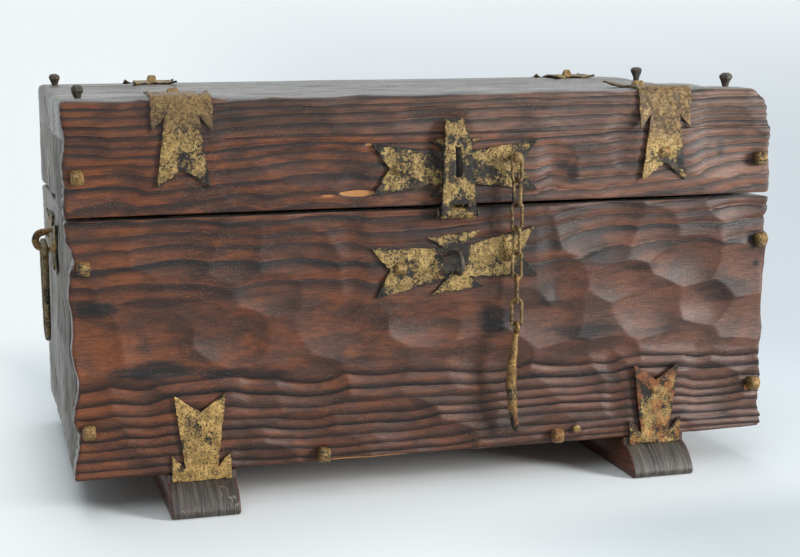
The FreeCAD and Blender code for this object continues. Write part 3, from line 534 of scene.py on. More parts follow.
def join_meshes(parts):
    """Several skins as one mesh."""
    points, faces = [], []
    count = 0
    for part_points, part_faces in parts:
        points.append(np.asarray(part_points, float))
        faces += [[index + count for index in face] for face in part_faces]
        count += len(part_points)
    return np.concatenate(points), faces


def tube(path, radii, around, seed, rough, closed=False):
    """A skin round a path.  rough makes it uneven."""
    path = np.asarray(path, float)
    radii = np.broadcast_to(radii, len(path)).astype(float)
    if closed:
        ways = np.roll(path, -1, axis=0) - np.roll(path, 1, axis=0)
    else:
        ways = np.gradient(path, axis=0)
    ways /= np.linalg.norm(ways, axis=1)[:, None]
    start = np.cross(ways[0], (0.31, 0.83, 0.47))
    side = start / np.linalg.norm(start)
    angles = np.arange(around) * math.tau / around
    rings = []
    for spot, way, radius in zip(path, ways, radii):
        side = side - way * (side @ way)
        side /= np.linalg.norm(side)
        circle = np.cos(angles)[:, None] * side + np.sin(angles)[:, None] * np.cross(way, side)
        rings.append(spot + radius * circle)
    points, faces = ring_stack(rings, close=not closed)
    if closed:
        twist = int(np.argmin(np.linalg.norm(rings[0] - rings[-1][0], axis=1)))
        last = (len(rings) - 1) * around
        for column in range(around):
            after = (column + 1) % around
            faces.append([last + column, last + after, (after + twist) % around, (column + twist) % around])
    centre = np.repeat(path, around, axis=0)
    bumps = smooth_noise(seed, points, (3.5, 3.5, 5))
    return centre + (points - centre) * (1 + rough * bumps[:, None]), faces


def normals_of(points, faces):
    """Vertex normals of an open sheet of triangles and other faces."""
    normals = np.zeros((len(points), 3))
    for face in faces:
        a, b, c = points[face[0]], points[face[1]], points[face[2]]
        across = np.cross(b - a, c - a)
        for index in face:
            normals[index] += across
    length = np.linalg.norm(normals, axis=1)
    return normals / np.maximum(length, 1e-9)[:, None]


def thicken(points, faces, thickness):
    """A sheet made solid, half its thickness to each side."""
    normals = normals_of(points, faces)
    count = len(points)
    solid = np.concatenate([points + normals * thickness / 2, points - normals * thickness / 2])
    skin = [list(face) for face in faces] + [[index + count for index in face[::-1]] for face in faces]
    edges = {}
    for face in faces:
        for start, end in zip(face, list(face[1:]) + [face[0]]):
            if not edges.pop((end, start), False):
                edges[(start, end)] = True
    skin += [[end, start, start + count, end + count] for start, end in edges]
    return solid, skin


# A cut edge: the length of its short pieces, and how far off the outline their ends lie.
EDGE_PIECE = 3.5
EDGE_UNEVEN = 0.25


def uneven_edge(outline, seed):
    """An outline in short pieces, with their ends a little off it."""
    rng = np.random.default_rng(seed)
    edge = []
    for start, end in zip(outline, outline[1:] + outline[:1]):
        start, end = np.array(start, float), np.array(end, float)
        pieces = max(1, round(np.linalg.norm(end - start) / EDGE_PIECE))
        for number in range(pieces):
            spot = start + (end - start) * number / pieces
            edge.append(spot + rng.normal(scale=EDGE_UNEVEN, size=2) * (0.5 if number == 0 else 1.0))
    return np.array(edge)


def grid_lines(low, high, step, holes):
    """Where a sheet is cut across and along: evenly, and at the sides of each hole."""
    lines = []
    for axis in (0, 1):
        places = list(np.arange(math.ceil(low[axis] / step) * step, high[axis], step))
        for hole in holes:
            sides = [hole[axis], hole[axis + 2]]
            places = [place for place in places if min(abs(place - side) for side in sides) > step * 0.3]
            places += sides
        lines += [(axis, place) for place in places]
    return lines


def cut_sheet(outline, step, holes, seed):
    """A flat sheet inside an outline, cut into small faces.  Holes are boxes: left, low, right, high."""
    edge = uneven_edge(outline, seed)
    flat = bmesh.new()
    corners = [flat.verts.new((x, y, 0)) for x, y in edge]
    flat.faces.new(corners).normal_update()
    bmesh.ops.triangulate(flat, faces=flat.faces[:], ngon_method="EAR_CLIP")
    for axis, place in grid_lines(edge.min(0), edge.max(0), step, holes):
        spot, normal = [0, 0, 0], [0, 0, 0]
        spot[axis], normal[axis] = place, 1
        geometry = flat.verts[:] + flat.edges[:] + flat.faces[:]
        bmesh.ops.bisect_plane(flat, geom=geometry, dist=0.02, plane_co=spot, plane_no=normal)
    cut_out = []
    for face in flat.faces:
        centre = face.calc_center_median()
        for hole in holes:
            if hole[0] < centre.x < hole[2] and hole[1] < centre.y < hole[3]:
                cut_out.append(face)
    bmesh.ops.delete(flat, geom=cut_out, context="FACES")
    bmesh.ops.recalc_face_normals(flat, faces=flat.faces)
    flat.verts.index_update()
    points = np.array([vert.co[:2] for vert in flat.verts])
    faces = [[vert.index for vert in face.verts] for face in flat.faces]
    if sum(face.normal.z for face in flat.faces) < 0:
        faces = [face[::-1] for face in faces]
    flat.free()
    return points, faces


def soften_edges(piece):
    """Break the sharp edges of a sheet."""
    bevel = piece.modifiers.new("worn_edges", "BEVEL")
    bevel.width = 0.35 * MM
    bevel.segments = 1
    bevel.limit_method = "ANGLE"
    bevel.angle_limit = math.radians(50)
    bevel.use_clamp_overlap = True


# ---- node materials ---------------------------------------------------------------------------

def srgb(red, green, blue):
    """A colour as seen, 0 to 255, as the linear colour that a shader takes."""
    def linear(value):
        value /= 255
        return value / 12.92 if value <= 0.04045 else ((value + 0.055) / 1.055) ** 2.4
    return linear(red), linear(green), linear(blue), 1.0


class Paint:
    """Shader nodes of a material or world, with calls that each add a node and give back its output."""

    def __init__(self, name, owners=bpy.data.materials):
        self.owner = owners.new(name)
        self.owner.use_nodes = True
        self.tree = self.owner.node_tree
        self.tree.nodes.clear()
        self.coordinates = self.add("TexCoord", "Object")

    def put(self, socket, value):
        """Link an output to a socket, or set its value."""
        if isinstance(value, bpy.types.NodeSocket):
            self.tree.links.new(value, socket)
        else:
            socket.default_value = value

    def add(self, kind, output, inputs=None, **settings):
        """A node of one kind, given by one of its outputs."""
        node = self.tree.nodes.new("ShaderNode" + kind)
        for label, value in settings.items():
            setattr(node, label, value)
        for label, value in (inputs or {}).items():
            self.put(node.inputs[label], value)
        return node.outputs[output]

    def place(self, axis):
        """One of the object coordinates."""
        return self.add("SeparateXYZ", axis, {0: self.coordinates})

    def stretched(self, lengths):
        """Object coordinates divided by one or three lengths in millimetres."""
        scales = tuple(1 / (length * MM) for length in np.broadcast_to(lengths, 3))
        return self.add("VectorMath", 0, {0: self.coordinates, 1: scales}, operation="MULTIPLY")

    def attribute(self, name):
        """A value that the mesh carries at its points."""
        return self.add("Attribute", "Fac", attribute_name=name)

    def noise(self, lengths, detail=3.0, roughness=0.55, distortion=0.0):
        """Smooth noise with lumps of one length, or of three."""
        return self.add("TexNoise", "Fac", {
            "Vector": self.stretched(lengths), "Scale": 1.0, "Detail": detail, "Roughness": roughness,
            "Distortion": distortion})

    def grained(self, grain, long, wide, **settings):
        """Noise with lumps that are long with the grain."""
        return self.noise([long if axis == grain else wide for axis in "xyz"], **settings)

    def specks(self, length):
        """The distance to the nearest of many scattered points."""
        return self.add("TexVoronoi", "Distance", {"Vector": self.stretched(length), "Scale": 1.0})

    def chance(self, number):
        """A random value from 0 to 1 for each whole number."""
        return self.add("TexWhiteNoise", "Value", {"W": number}, noise_dimensions="1D")

    def math(self, operation, first, second=0.0, third=0.0):
        """One sum of up to three values."""
        return self.add("Math", 0, {0: first, 1: second, 2: third}, operation=operation)

    def times(self, first, second):
        """One value times another."""
        return self.math("MULTIPLY", first, second)

    def most(self, first, second):
        """The greater of two values."""
        return self.math("MAXIMUM", first, second)

    def scaled(self, value, factor, plus):
        """A value times a factor, plus another value."""
        return self.math("MULTIPLY_ADD", value, factor, plus)

    def span(self, value, low, high, to_low=0.0, to_high=1.0):
        """A value's range moved smoothly to another one."""
        return self.add("MapRange", "Result", {
            "Value": value, "From Min": low, "From Max": high, "To Min": to_low, "To Max": to_high,
        }, interpolation_type="SMOOTHSTEP")

    def mix(self, share, first, second, blend="MIX"):
        """Two colours mixed by a share of the second."""
        return self.add("Mix", 2, {0: share, 6: first, 7: second}, data_type="RGBA", blend_type=blend)

    def shaded(self, colour, value):
        """A colour times a value, which may be above 1."""
        grey = self.add("CombineColor", "Color", {0: value, 1: value, 2: value})
        return self.mix(1.0, colour, grey, blend="MULTIPLY")

    def bump(self, height, distance):
        """A normal for relief that is so many millimetres high."""
        return self.add("Bump", "Normal", {"Distance": distance * MM, "Height": height})

    def seen(self):
        """1 for what the camera sees, in a mirror too, and 0 for the light that falls on things."""
        path = self.tree.nodes.new("ShaderNodeLightPath").outputs
        seen = self.most(path["Is Camera Ray"], path["Is Glossy Ray"])
        return self.most(seen, path["Is Transmission Ray"])

    def surface(self, shader, output="ShaderNodeOutputMaterial"):
        """The material or world, with this shader on it."""
        self.put(self.tree.nodes.new(output).inputs["Surface"], shader)
        return self.owner

    def finish(self, **inputs):
        """The material, from a shader's inputs named with underscores for spaces."""
        named = {label.replace("_", " "): value for label, value in inputs.items()}
        return self.surface(self.add("BsdfPrincipled", "BSDF", named))


WARM = srgb(106, 61, 38)
DULL = srgb(76, 48, 37)
LATE = srgb(21, 16, 16)
STAIN = srgb(21, 21, 23)
HONEY = srgb(126, 70, 38)
SMOKE = srgb(50, 38, 34)
DUST = srgb(172, 156, 128)
FRESH = srgb(196, 142, 84)
FRESH_DEEP = srgb(132, 84, 48)


def hewn_wood(name, grain, warm, dull, stained, roughness=0.36, grey=0.6, painted_highlight_right=srgb(92, 66, 56),
              shine=0.5, pale=srgb(144, 141, 133), dark=srgb(44, 46, 50), streak=34):
    """Stained pine seen on a hewn side: ring bands, fibres, blue-black stains, chips and dust, with a painted
    sheen that greys it towards the right and a streaked grey painted reflection on the top and the ends.
    """
    paint = Paint(name)
    fibres = paint.grained(grain, 17, 0.85, detail=5, roughness=0.7)
    streaks = paint.grained(grain, streak, 2.6, detail=4, roughness=0.62)
    band, strength = ring_band(paint, grain)

    early = paint.mix(paint.span(paint.grained(grain, 24, 8, detail=5, roughness=0.62), 0.36, 0.64),
                      warm, dull)
    early = paint.mix(paint.span(paint.place("X"), -0.31, -0.2, 0.55, 0.0), early, HONEY)
    # Painted sheen: the colour greys towards the right, where the key light's sheen falls.
    early = paint.mix(paint.span(paint.place("X"), -0.22, 0.34, 0.0, 0.6), early, painted_highlight_right)
    smoke = paint.grained(grain, 52, 24, detail=4, distortion=0.5)
    early = paint.mix(paint.span(smoke, 0.42, 0.66, 0.0, 0.7), early, SMOKE)
    early = paint.mix(paint.span(streaks, 0.5, 0.74, 0.0, 0.3), early, LATE)
    colour = paint.mix(paint.times(band, strength), early, LATE)
    blot = paint.span(paint.grained(grain, 60, 13, detail=4, distortion=0.4), stained, stained + 0.12)
    edge = paint.times(blot, paint.span(band, 0.0, 0.7, 0.2, 0.85))
    placed = paint.times(paint.attribute("stain"), paint.span(streaks, 0.28, 0.6, 0.72, 1.0))
    colour = paint.mix(paint.most(edge, placed), colour, STAIN)
    colour = paint.shaded(colour, paint.span(fibres, 0.28, 0.74, 0.68, 1.34))
    # Painted reflection: the top and the ends are greyed towards pale and dark streaks where the pale room
    # would be mirrored at a grazing view; the same share makes them glossier below.
    sheen = paint.attribute("sheen")
    painted_reflection = paint.mix(paint.span(streaks, 0.36, 0.62), pale, dark)
    colour = paint.mix(paint.times(sheen, grey), colour, painted_reflection)
    colour = paint.mix(paint.times(dust(paint), 0.55), colour, DUST)
    chipped = paint.span(paint.attribute("bare"), 0.35, 0.55)
    colour = paint.mix(chipped, colour, paint.mix(fibres, FRESH, FRESH_DEEP))

    relief = paint.scaled(band, -0.9, paint.times(fibres, 0.55))
    worn = paint.scaled(paint.noise(15, detail=4), 0.30, roughness - 0.15)
    worn = paint.scaled(fibres, 0.12, worn)
    worn = paint.scaled(sheen, -0.10, worn)
    return paint.finish(Base_Color=colour, Roughness=worn, Normal=paint.bump(relief, 0.55),
                        Specular_IOR_Level=paint.scaled(sheen, shine, 0.31))


def ring_band(paint, grain):
    """How far each place is into the dark band of its growth ring, and how strong that band is."""
    ring = paint.scaled(paint.grained(grain, 16, 2.0, detail=4), 0.22, paint.attribute("ring"))
    share = paint.math("FRACT", ring)
    rise = paint.math("POWER", paint.span(share, 0.38, 0.92), 1.25)
    band = paint.most(rise, paint.span(share, 0.0, 0.12, 1.0, 0.0))
    own = paint.chance(paint.math("FLOOR", paint.math("ADD", ring, 0.5)))
    patches = paint.grained(grain, 70, 11, detail=4)
    strength = paint.times(paint.span(patches, 0.28, 0.56, 0.8, 1.0), paint.span(own, 0.0, 1.0, 0.78, 1.0))
    return band, strength


def dust(paint):
    """Pale specks that lie thicker in some places."""
    thick = paint.span(paint.noise((75, 60, 38), detail=3), 0.46, 0.6)
    few = paint.span(paint.specks(4.2), 0.07, 0.14, 1.0, 0.0)
    many = paint.times(paint.span(paint.specks(1.9), 0.10, 0.17, 1.0, 0.0), thick)
    return paint.most(paint.times(few, 0.3), many)


def plain_wood(name, grain, light, dark):
    """Sawn wood as on the inside: soft lines, fibres and stains."""
    paint = Paint(name)
    lines = paint.grained(grain, 180, 7.0, detail=5, roughness=0.62)
    fibres = paint.grained(grain, 30, 0.7, detail=4, roughness=0.6)
    patches = paint.noise(70, detail=4)
    colour = paint.mix(paint.span(lines, 0.35, 0.66), light, dark)
    colour = paint.mix(paint.span(patches, 0.45, 0.75, 0.0, 0.5), colour, dark)
    colour = paint.shaded(colour, paint.span(fibres, 0.25, 0.75, 0.72, 1.22))
    return paint.finish(Base_Color=colour, Roughness=paint.scaled(patches, 0.25, 0.55),
                        Normal=paint.bump(paint.math("ADD", lines, fibres), 0.35))


def worn_runner(name):
    """Nearly black wood, rubbed along the grain and crossed by pale scratches."""
    paint = Paint(name)
    streaks = paint.noise((2.4, 60, 60), detail=5, roughness=0.7, distortion=0.3)
    fine = paint.noise((0.7, 16, 16), detail=4, roughness=0.7)
    patches = paint.noise((22, 30, 30), detail=4)
    colour = paint.mix(paint.span(streaks, 0.38, 0.66), srgb(38, 35, 34), srgb(88, 82, 73))
    colour = paint.mix(paint.span(fine, 0.58, 0.75, 0.0, 0.6), colour, srgb(136, 127, 110))
    colour = paint.mix(paint.span(patches, 0.42, 0.7, 0.0, 0.7), colour, srgb(58, 46, 42))
    scratch = paint.math("FRACT", paint.times(paint.noise((14, 40, 40), detail=2), 5.0))
    off_line = paint.math("ABSOLUTE", paint.math("SUBTRACT", scratch, 0.5))
    line = paint.math("SUBTRACT", 1.0, paint.span(off_line, 0.0, 0.035))
    line = paint.times(line, paint.span(patches, 0.5, 0.6))
    colour = paint.mix(paint.times(line, 0.6), colour, srgb(178, 168, 146))
    sawn = paint.noise((8, 30, 2.2), detail=4, roughness=0.6)
    side = paint.mix(paint.span(sawn, 0.35, 0.68), srgb(104, 60, 46), srgb(54, 38, 34))
    colour = paint.mix(paint.span(paint.attribute("side"), 0.3, 0.7), colour, side)
    return paint.finish(
        Base_Color=colour, Roughness=paint.scaled(fine, 0.25, 0.34),
        Normal=paint.bump(paint.math("ADD", streaks, paint.times(fine, 0.5)), 0.7), Specular_IOR_Level=0.5)


def gilt_iron(name, kept=0.5, rust=0.0, gold=(180, 152, 96), deep_gold=(134, 108, 62), spot=(0, 0, 0)):
    """Flaking gold paint over dark sheet iron.

    kept is the share of paint that is left, and spot shifts the pattern, so that no two are alike.
    """
    paint = Paint(name)
    paint.coordinates = paint.add("VectorMath", 0, {0: paint.coordinates, 1: spot}, operation="ADD")
    broad = paint.noise(17, detail=3, roughness=0.55)
    flakes = paint.noise(3.2, detail=5, roughness=0.75, distortion=0.6)
    grit = paint.noise(1.6, detail=3, roughness=0.7)
    # Paint that has gone in patches, and pits all over it.
    loss = paint.scaled(broad, 0.9, paint.times(flakes, 0.8))
    loss = paint.scaled(paint.attribute("wear"), 0.6, loss)
    limit = 0.72 + 0.42 * kept
    patch = paint.span(loss, limit - 0.05, limit + 0.05)
    pitted = paint.scaled(flakes, 0.5, paint.times(grit, 0.6))
    pitted = paint.scaled(broad, 0.8, pitted)
    pits = paint.span(pitted, 0.925 + 0.12 * kept, 0.985 + 0.12 * kept)
    left_over = paint.span(grit, 0.60, 0.68)
    bare = paint.most(pits, paint.times(patch, paint.math("SUBTRACT", 1.0, left_over)))
    scuffed = paint.span(loss, limit - 0.22, limit)
    tone = paint.span(paint.noise(7, detail=5, roughness=0.65), 0.34, 0.66)
    gold_colour = paint.mix(tone, srgb(*gold), srgb(*deep_gold))
    gold_colour = paint.mix(paint.times(scuffed, 0.5), gold_colour, srgb(112, 94, 64))
    gold_colour = paint.mix(paint.span(grit, 0.47, 0.60, 0.0, 0.8), gold_colour, srgb(66, 52, 33))
    iron = paint.mix(paint.span(grit, 0.35, 0.7), srgb(14, 14, 15), srgb(42, 38, 33))
    iron = paint.mix(paint.span(tone, 0.6, 1.0, 0.0, 0.45), iron, srgb(86, 72, 52))
    colour = paint.mix(bare, gold_colour, iron)
    dusty = paint.mix(paint.span(flakes, 0.36, 0.64), srgb(132, 106, 70), srgb(66, 50, 35))
    colour = paint.mix(paint.times(paint.attribute("patina"), 0.8), colour, dusty)
    rusty = paint.noise((11, 11, 17), detail=5, roughness=0.68)
    rusty = paint.span(rusty, 0.60 - 0.20 * rust, 0.72 - 0.16 * rust)
    rust_colour = paint.mix(tone, srgb(166, 102, 54), srgb(112, 66, 40))
    colour = paint.mix(paint.times(rusty, 0.2 + 0.6 * rust), colour, rust_colour)
    relief = paint.scaled(bare, -0.6, paint.times(grit, 0.6))
    relief = paint.scaled(flakes, 0.8, relief)
    return paint.finish(
        Base_Color=colour, Roughness=paint.scaled(grit, 0.24, 0.36), Normal=paint.bump(relief, 0.4),
        Metallic=paint.scaled(bare, -0.15, 0.2), Specular_IOR_Level=0.27)


def dark_iron(name, gold_traces, lift=0):
    """Dark forged iron with traces of the gold paint in it; lift makes it paler."""
    paint = Paint(name)
    broad = paint.noise(7, detail=4, roughness=0.6)
    grit = paint.noise(0.9, detail=4, roughness=0.7)
    iron = paint.mix(paint.span(grit, 0.3, 0.7), srgb(34 + lift, 33 + lift, 34 + lift),
                     srgb(88 + lift, 80 + lift, 70 + lift))
    traces = 0.5 * gold_traces
    traces = paint.span(paint.scaled(grit, 0.5, broad), 1.0 - traces, 1.08 - traces)
    colour = paint.mix(traces, iron, srgb(168, 134, 76))
    rust = paint.noise(4, detail=4)
    colour = paint.mix(paint.span(rust, 0.52, 0.7, 0.0, 0.45), colour, srgb(96, 62, 40))
    return paint.finish(Base_Color=colour, Roughness=paint.scaled(grit, 0.25, 0.38), Metallic=0.45,
                        Normal=paint.bump(paint.scaled(broad, 0.8, grit), 0.4))


# The greyer colours given for the right of the lid and the plank are painted sheen, and the end wood's grey
# share with its pale and dark streak colours is a painted reflection.
WOOD = {
    "base": hewn_wood("base_wood", "x", WARM, DULL, 0.62),
    "lid": hewn_wood("lid_wood", "x", srgb(118, 66, 38), DULL, 0.60, painted_highlight_right=srgb(128, 98, 84)),
    "plank": hewn_wood("plank_wood", "x", srgb(104, 66, 48), srgb(70, 50, 42), 0.58,
                       painted_highlight_right=srgb(118, 94, 82), streak=80),
    "end": hewn_wood("end_wood", "z", srgb(92, 66, 48), srgb(66, 54, 46), 0.56, roughness=0.46, grey=0.72,
                     shine=0.34, pale=srgb(150, 142, 130), dark=srgb(72, 70, 68), streak=110),
}
INNER = {
    "x": plain_wood("inner_wood_long", "x", srgb(142, 104, 76), srgb(92, 62, 46)),
    "z": plain_wood("inner_wood_end", "z", srgb(134, 98, 72), srgb(88, 60, 45)),
}
RUNNER = worn_runner("runner_wood")
GILT = {
    "strap_left": gilt_iron("gilt_left_strap", 0.62, 0.10, spot=(0.3, 0.1, 0.2)),
    "strap_right": gilt_iron("gilt_right_strap", 0.56, 0.15, spot=(0.7, 0.4, 0.1)),
    "lock": gilt_iron("gilt_lock", 0.60, 0.05, spot=(0.1, 0.8, 0.6)),
    "hasp": gilt_iron("gilt_hasp", 0.56, 0.05, spot=(0.5, 0.2, 0.9)),
    "foot_left": gilt_iron("gilt_left_foot", 1.0, 0.10, gold=(196, 160, 98), spot=(0.9, 0.62, 0.37)),
    "foot_right": gilt_iron("gilt_right_foot", 0.50, 0.75, spot=(0.2, 0.5, 0.5)),
    "rear": gilt_iron("gilt_rear", 0.55, 0.25, spot=(0.4, 0.9, 0.7)),
    "nail": gilt_iron("gilt_nail", 0.75, 0.35, gold=(164, 134, 84), deep_gold=(120, 94, 56)),
    "chain": gilt_iron("gilt_chain", 0.62, 0.30, gold=(160, 132, 84), deep_gold=(114, 90, 56)),
    "handle": gilt_iron("gilt_handle", 0.6, 0.15, gold=(146, 130, 94), deep_gold=(104, 90, 62)),
    "peg": gilt_iron("gilt_peg", 0.75, 0.40, gold=(164, 130, 78), deep_gold=(118, 88, 48)),
}
DARK = {
    "stud": dark_iron("stud_iron", 0.1),
    "staple": dark_iron("staple_iron", 0.3, lift=8),
    "pin": dark_iron("pin_iron", 0.2),
}


# ---- boards -----------------------------------------------------------------------------------

# How far in the rows of points lie down the edges of a board, and all through the plank.
EDGE_LAYERS = (0.7, 1.6, 3, 5, 8, 12, 17, 22)
PLANK_LAYERS = tuple(np.linspace(0, LID_HIGH[2] - span("lid_top_board")[0][2], 30)[1:])
# How far apart the points of a hewn side lie, across and up.
FINE = (1.95, 0.9)
COARSE = (2.6, 1.4)
UPRIGHT = (1.15, 2.2)
LEVEL = (2.3, 1.7)

# Each board: its rings, the steps of its grid, its stains and its chips.
BOARDS = {
    "base_front_board": (BASE_FRONT_RINGS, FINE, BASE_STAINS, BASE_CHIPS),
    "base_back_board": (BASE_BACK_RINGS, COARSE, (), ()),
    "base_left_end_board": (LEFT_END_RINGS, UPRIGHT, (), ()),
    "base_right_end_board": (RIGHT_END_RINGS, UPRIGHT, (), ()),
    "lid_front_board": (LID_RINGS, FINE, LID_STAINS, LID_CHIPS),
    "lid_back_board": (LID_RINGS, COARSE, (), ()),
    "lid_left_end_board": (LEFT_END_RINGS, UPRIGHT, (), ()),
    "lid_right_end_board": (RIGHT_END_RINGS, UPRIGHT, (), ()),
    "lid_top_board": (LID_RINGS, LEVEL, (), ()),
}
ENDS = ("left", "right")


def make_boards():
    """The hewn boards, each in place of its CAD node."""
    for node, (rings, steps, stains, chips) in BOARDS.items():
        body, side = node.split("_")[:2]
        wood = "end" if side in ENDS else "plank" if side == "top" else body
        inner = INNER["z" if side in ENDS else "x"]
        layers = PLANK_LAYERS if side == "top" else EDGE_LAYERS
        points, faces = board_mesh(*span(node), side, steps, layers)
        moved, ring = hew(points, *SHAPES[body], rings)
        bare = blots(points, chips)
        moved[:, 1] += CHIP_DEEP * bare
        piece = make_piece(
            node, "hewn", moved, faces, [WOOD[wood], inner], body, "chest_wood", ring=ring,
            stain=blots(points, stains), bare=bare, sheen=painted_reflection_and_gloss_share(points, *SHAPES[body][:2]))
        back = piece.data.polygons[len(faces) - 1]
        back.material_index = 1
        back.use_smooth = False


# ---- sheet-iron fittings ----------------------------------------------------------------------

def half_cross(sign=1):
    """Half of the cross: a band with two pointed wings, and one forked arm."""
    points = [
        (BAND_HALF, 0), (BAND_HALF, BAND_REACH), (WAIST_HALF, SLIT_START), (TAIL_HALF, ARM_REACH),
        (0, ARM_REACH - TAIL_NOTCH), (-TAIL_HALF, ARM_REACH), (-WAIST_HALF, SLIT_START),
        (-BAND_HALF, BAND_REACH), (-BAND_HALF, 0),
    ]
    return [(across, sign * up) for across, up in points]


def whole_cross():
    """The full cross, with its forked arms to the left and right."""
    upper = half_cross()[1:-1]
    lower = [(-across, -up) for across, up in upper]
    return [(up, across) for across, up in upper + lower]


EDGE_WEAR_REACH = 2.2


def edge_wear(points, outline):
    """1 on the outline of a sheet, falling to 0 within a short reach of it."""
    nearest = np.full(len(points), 1e9)
    corners = np.array(outline, float)
    for start, end in zip(corners, np.roll(corners, -1, axis=0)):
        way = end - start
        share = np.clip(((points - start) @ way) / (way @ way), 0, 1)
        nearest = np.minimum(nearest, np.linalg.norm(points - start - share[:, None] * way, axis=1))
    return np.clip(1 - nearest / EDGE_WEAR_REACH, 0, 1)


def spots(points, places):
    """Worn spots on a sheet: each is a middle, a size and a strength."""
    total = np.zeros(len(points))
    for u, v, size, strength in places:
        distance = np.hypot(points[:, 0] - u, points[:, 1] - v)
        total += strength * np.exp(-(distance / size) ** 2)
    return total


# The share of its thickness that a rolled strip keeps, and the wear on it.
ROLLED_SHARE = 0.95
ROLLED_WEAR = 0.05


def sheet_piece(node, body, material, outline, shape, seed, worn=(), dusty=None, more=None, holes=(),
                step=2.8, thickness=1.7, edge=0.22, ending="sheet"):
    """A fitting cut from sheet iron; shape bends flat points into place.

    worn lists spots of wear, dusty gives the dust by place, and more is a rolled part to add.
    """
    flat, faces = cut_sheet(outline, step, holes, seed)
    wear = np.tile(edge * edge_wear(flat, outline) + spots(flat, worn), 2)
    patina = np.tile(dusty(flat) if dusty else np.zeros(len(flat)), 2)
    points, faces = thicken(shape(flat), faces, thickness)
    if more:
        wear = np.append(wear, np.full(len(more[0]), ROLLED_WEAR))
        patina = np.append(patina, np.zeros(len(more[0])))
        points, faces = join_meshes([(points, faces), more])
    piece = make_piece(
        node, ending, points, faces, [material], body, "gilt_iron", wear=wear, patina=patina)
    soften_edges(piece)


def dents(flat, seed):
    """Shallow dents all over a sheet."""
    return 0.28 * smooth_noise(seed, flat, (9, 9))


def flat_shape(side, at, lift, seed, tilt=0.0):
    """A plate on a wall.  lift gives how far it stands off the wood, by place."""
    turn = np.array([[math.cos(tilt), math.sin(tilt)], [-math.sin(tilt), math.cos(tilt)]])

    def shape(flat):
        out = SHEET / 2 + lift(flat) + dents(flat, seed)
        return set_on(side, at, np.column_stack([flat @ turn, np.maximum(out, 0.7)]))

    return shape


FOLD_RADIUS = 5.0
# How far from the fold a strap's flat lengths are squeezed to make up for the bend.
FOLD_SQUEEZE = 12


def folded_shape(side, at, lift, seed):
    """A strap over the lid's edge: up is negative on the wall and positive along the top."""
    bend = FOLD_RADIUS + SHEET / 2
    half = bend * math.pi / 4
    shorten = FOLD_RADIUS - half

    def shape(flat):
        across = flat[:, 0]
        run = np.sign(flat[:, 1]) * np.maximum(np.abs(flat[:, 1]) - shorten, 0)
        run = np.where(
            np.abs(flat[:, 1]) < FOLD_SQUEEZE,
            flat[:, 1] * (FOLD_SQUEEZE - shorten) / FOLD_SQUEEZE, run)
        angle = np.clip(run / half, -1, 1) * math.pi / 4 + math.pi / 4
        beyond_wall = np.maximum(-run - half, 0)
        beyond_top = np.maximum(run - half, 0)
        out = lift(flat) + dents(flat, seed)
        radius = bend + out
        # The bend's middle lies inside the wood, FOLD_RADIUS in from both sides.
        outwards = -FOLD_RADIUS + radius * np.cos(angle) - beyond_top
        upwards = -FOLD_RADIUS + radius * np.sin(angle) - beyond_wall
        return set_on(side, at, np.column_stack([across, upwards, outwards]))

    return shape


def cross_bow(ends, wings):
    """A small lift towards the ends and the wings of a cross."""
    return lambda flat: ends * (np.abs(flat[:, 0]) / ARM_REACH) ** 2 + wings * (
        np.clip(np.abs(flat[:, 1]) - WAIST_HALF, 0, None) / 11) ** 2


STRIP_COLUMNS = 4


def strip(path, left, right, thickness):
    """A band of sheet along a path in the YZ plane, as wide as left to right along X."""
    across = np.linspace(left, right, STRIP_COLUMNS + 1)
    points = [(x, y, z) for y, z in path for x in across]
    width = len(across)
    faces = []
    for row in range(len(path) - 1):
        for column in range(STRIP_COLUMNS):
            start = row * width + column
            faces.append([start, start + 1, start + width + 1, start + width])
    return thicken(np.array(points), faces, thickness)


EAR_NEAR = TONGUE_HALF + EAR_GAP
EAR_REACH = EAR_NEAR + EAR_WIDE


def tongue(path, x):
    """The strip at the middle of a hinge, along a path."""
    return strip(path, x - TONGUE_HALF, x + TONGUE_HALF, SHEET * ROLLED_SHARE)


def ears(path, x, sheet):
    """The two strips beside a hinge's tongue, along a path."""
    thickness = sheet * ROLLED_SHARE
    return join_meshes([strip(path, x - EAR_REACH, x - EAR_NEAR, thickness),
                        strip(path, x + EAR_NEAR, x + EAR_REACH, thickness)])


ROLL_POINTS = 22


def roll(centre_y, centre_z, radius, start, end):
    """Points round part of a circle in the YZ plane; angles in degrees, 0 to the back, 90 up."""
    angles = np.radians(np.linspace(start, end, ROLL_POINTS))
    return [(centre_y + radius * math.cos(a), centre_z + radius * math.sin(a)) for a in angles]


# How much further the right lid strap hangs down the front than the left one, and how far its
# top arm leans to the left for each millimetre back.  WING_DROP is how much lower the front
# wings of both straps sit.
STRAP_DROP = 6.5
WING_DROP = 4.5
STRAP_LEAN = 0.13


def left_strap_lift(flat):
    """The left lid strap's wing tips stand up off the plank, and its lower end off the front."""
    across, up = np.abs(flat[:, 0]), flat[:, 1]
    tips = np.clip(up - 12, 0, None) / 11 * np.clip(across - 15, 0, None) / 9
    tips = np.where(up < 30, tips, 0)
    return 0.5 + 2.5 * tips + 0.5 * (np.clip(-up - 30, 0, None) / 40) ** 2


def right_strap_lift(flat):
    """The right lid strap's left front wing and left top tail stand up, and its lower arm leans out."""
    across, up = flat[:, 0], flat[:, 1]
    front_wing = fade(-across, 11, 24) * fade(-up, 14, 24) * (1 - fade(-up, 30, 42))
    tail = fade(-across, 2, 20) * fade(up, 46, 66)
    low_arm = np.clip(-up - 20, 0, None) / 63 * fade(-across, -12, 20)
    return 0.5 + 3.0 * front_wing + 3.4 * tail + 1.8 * low_arm


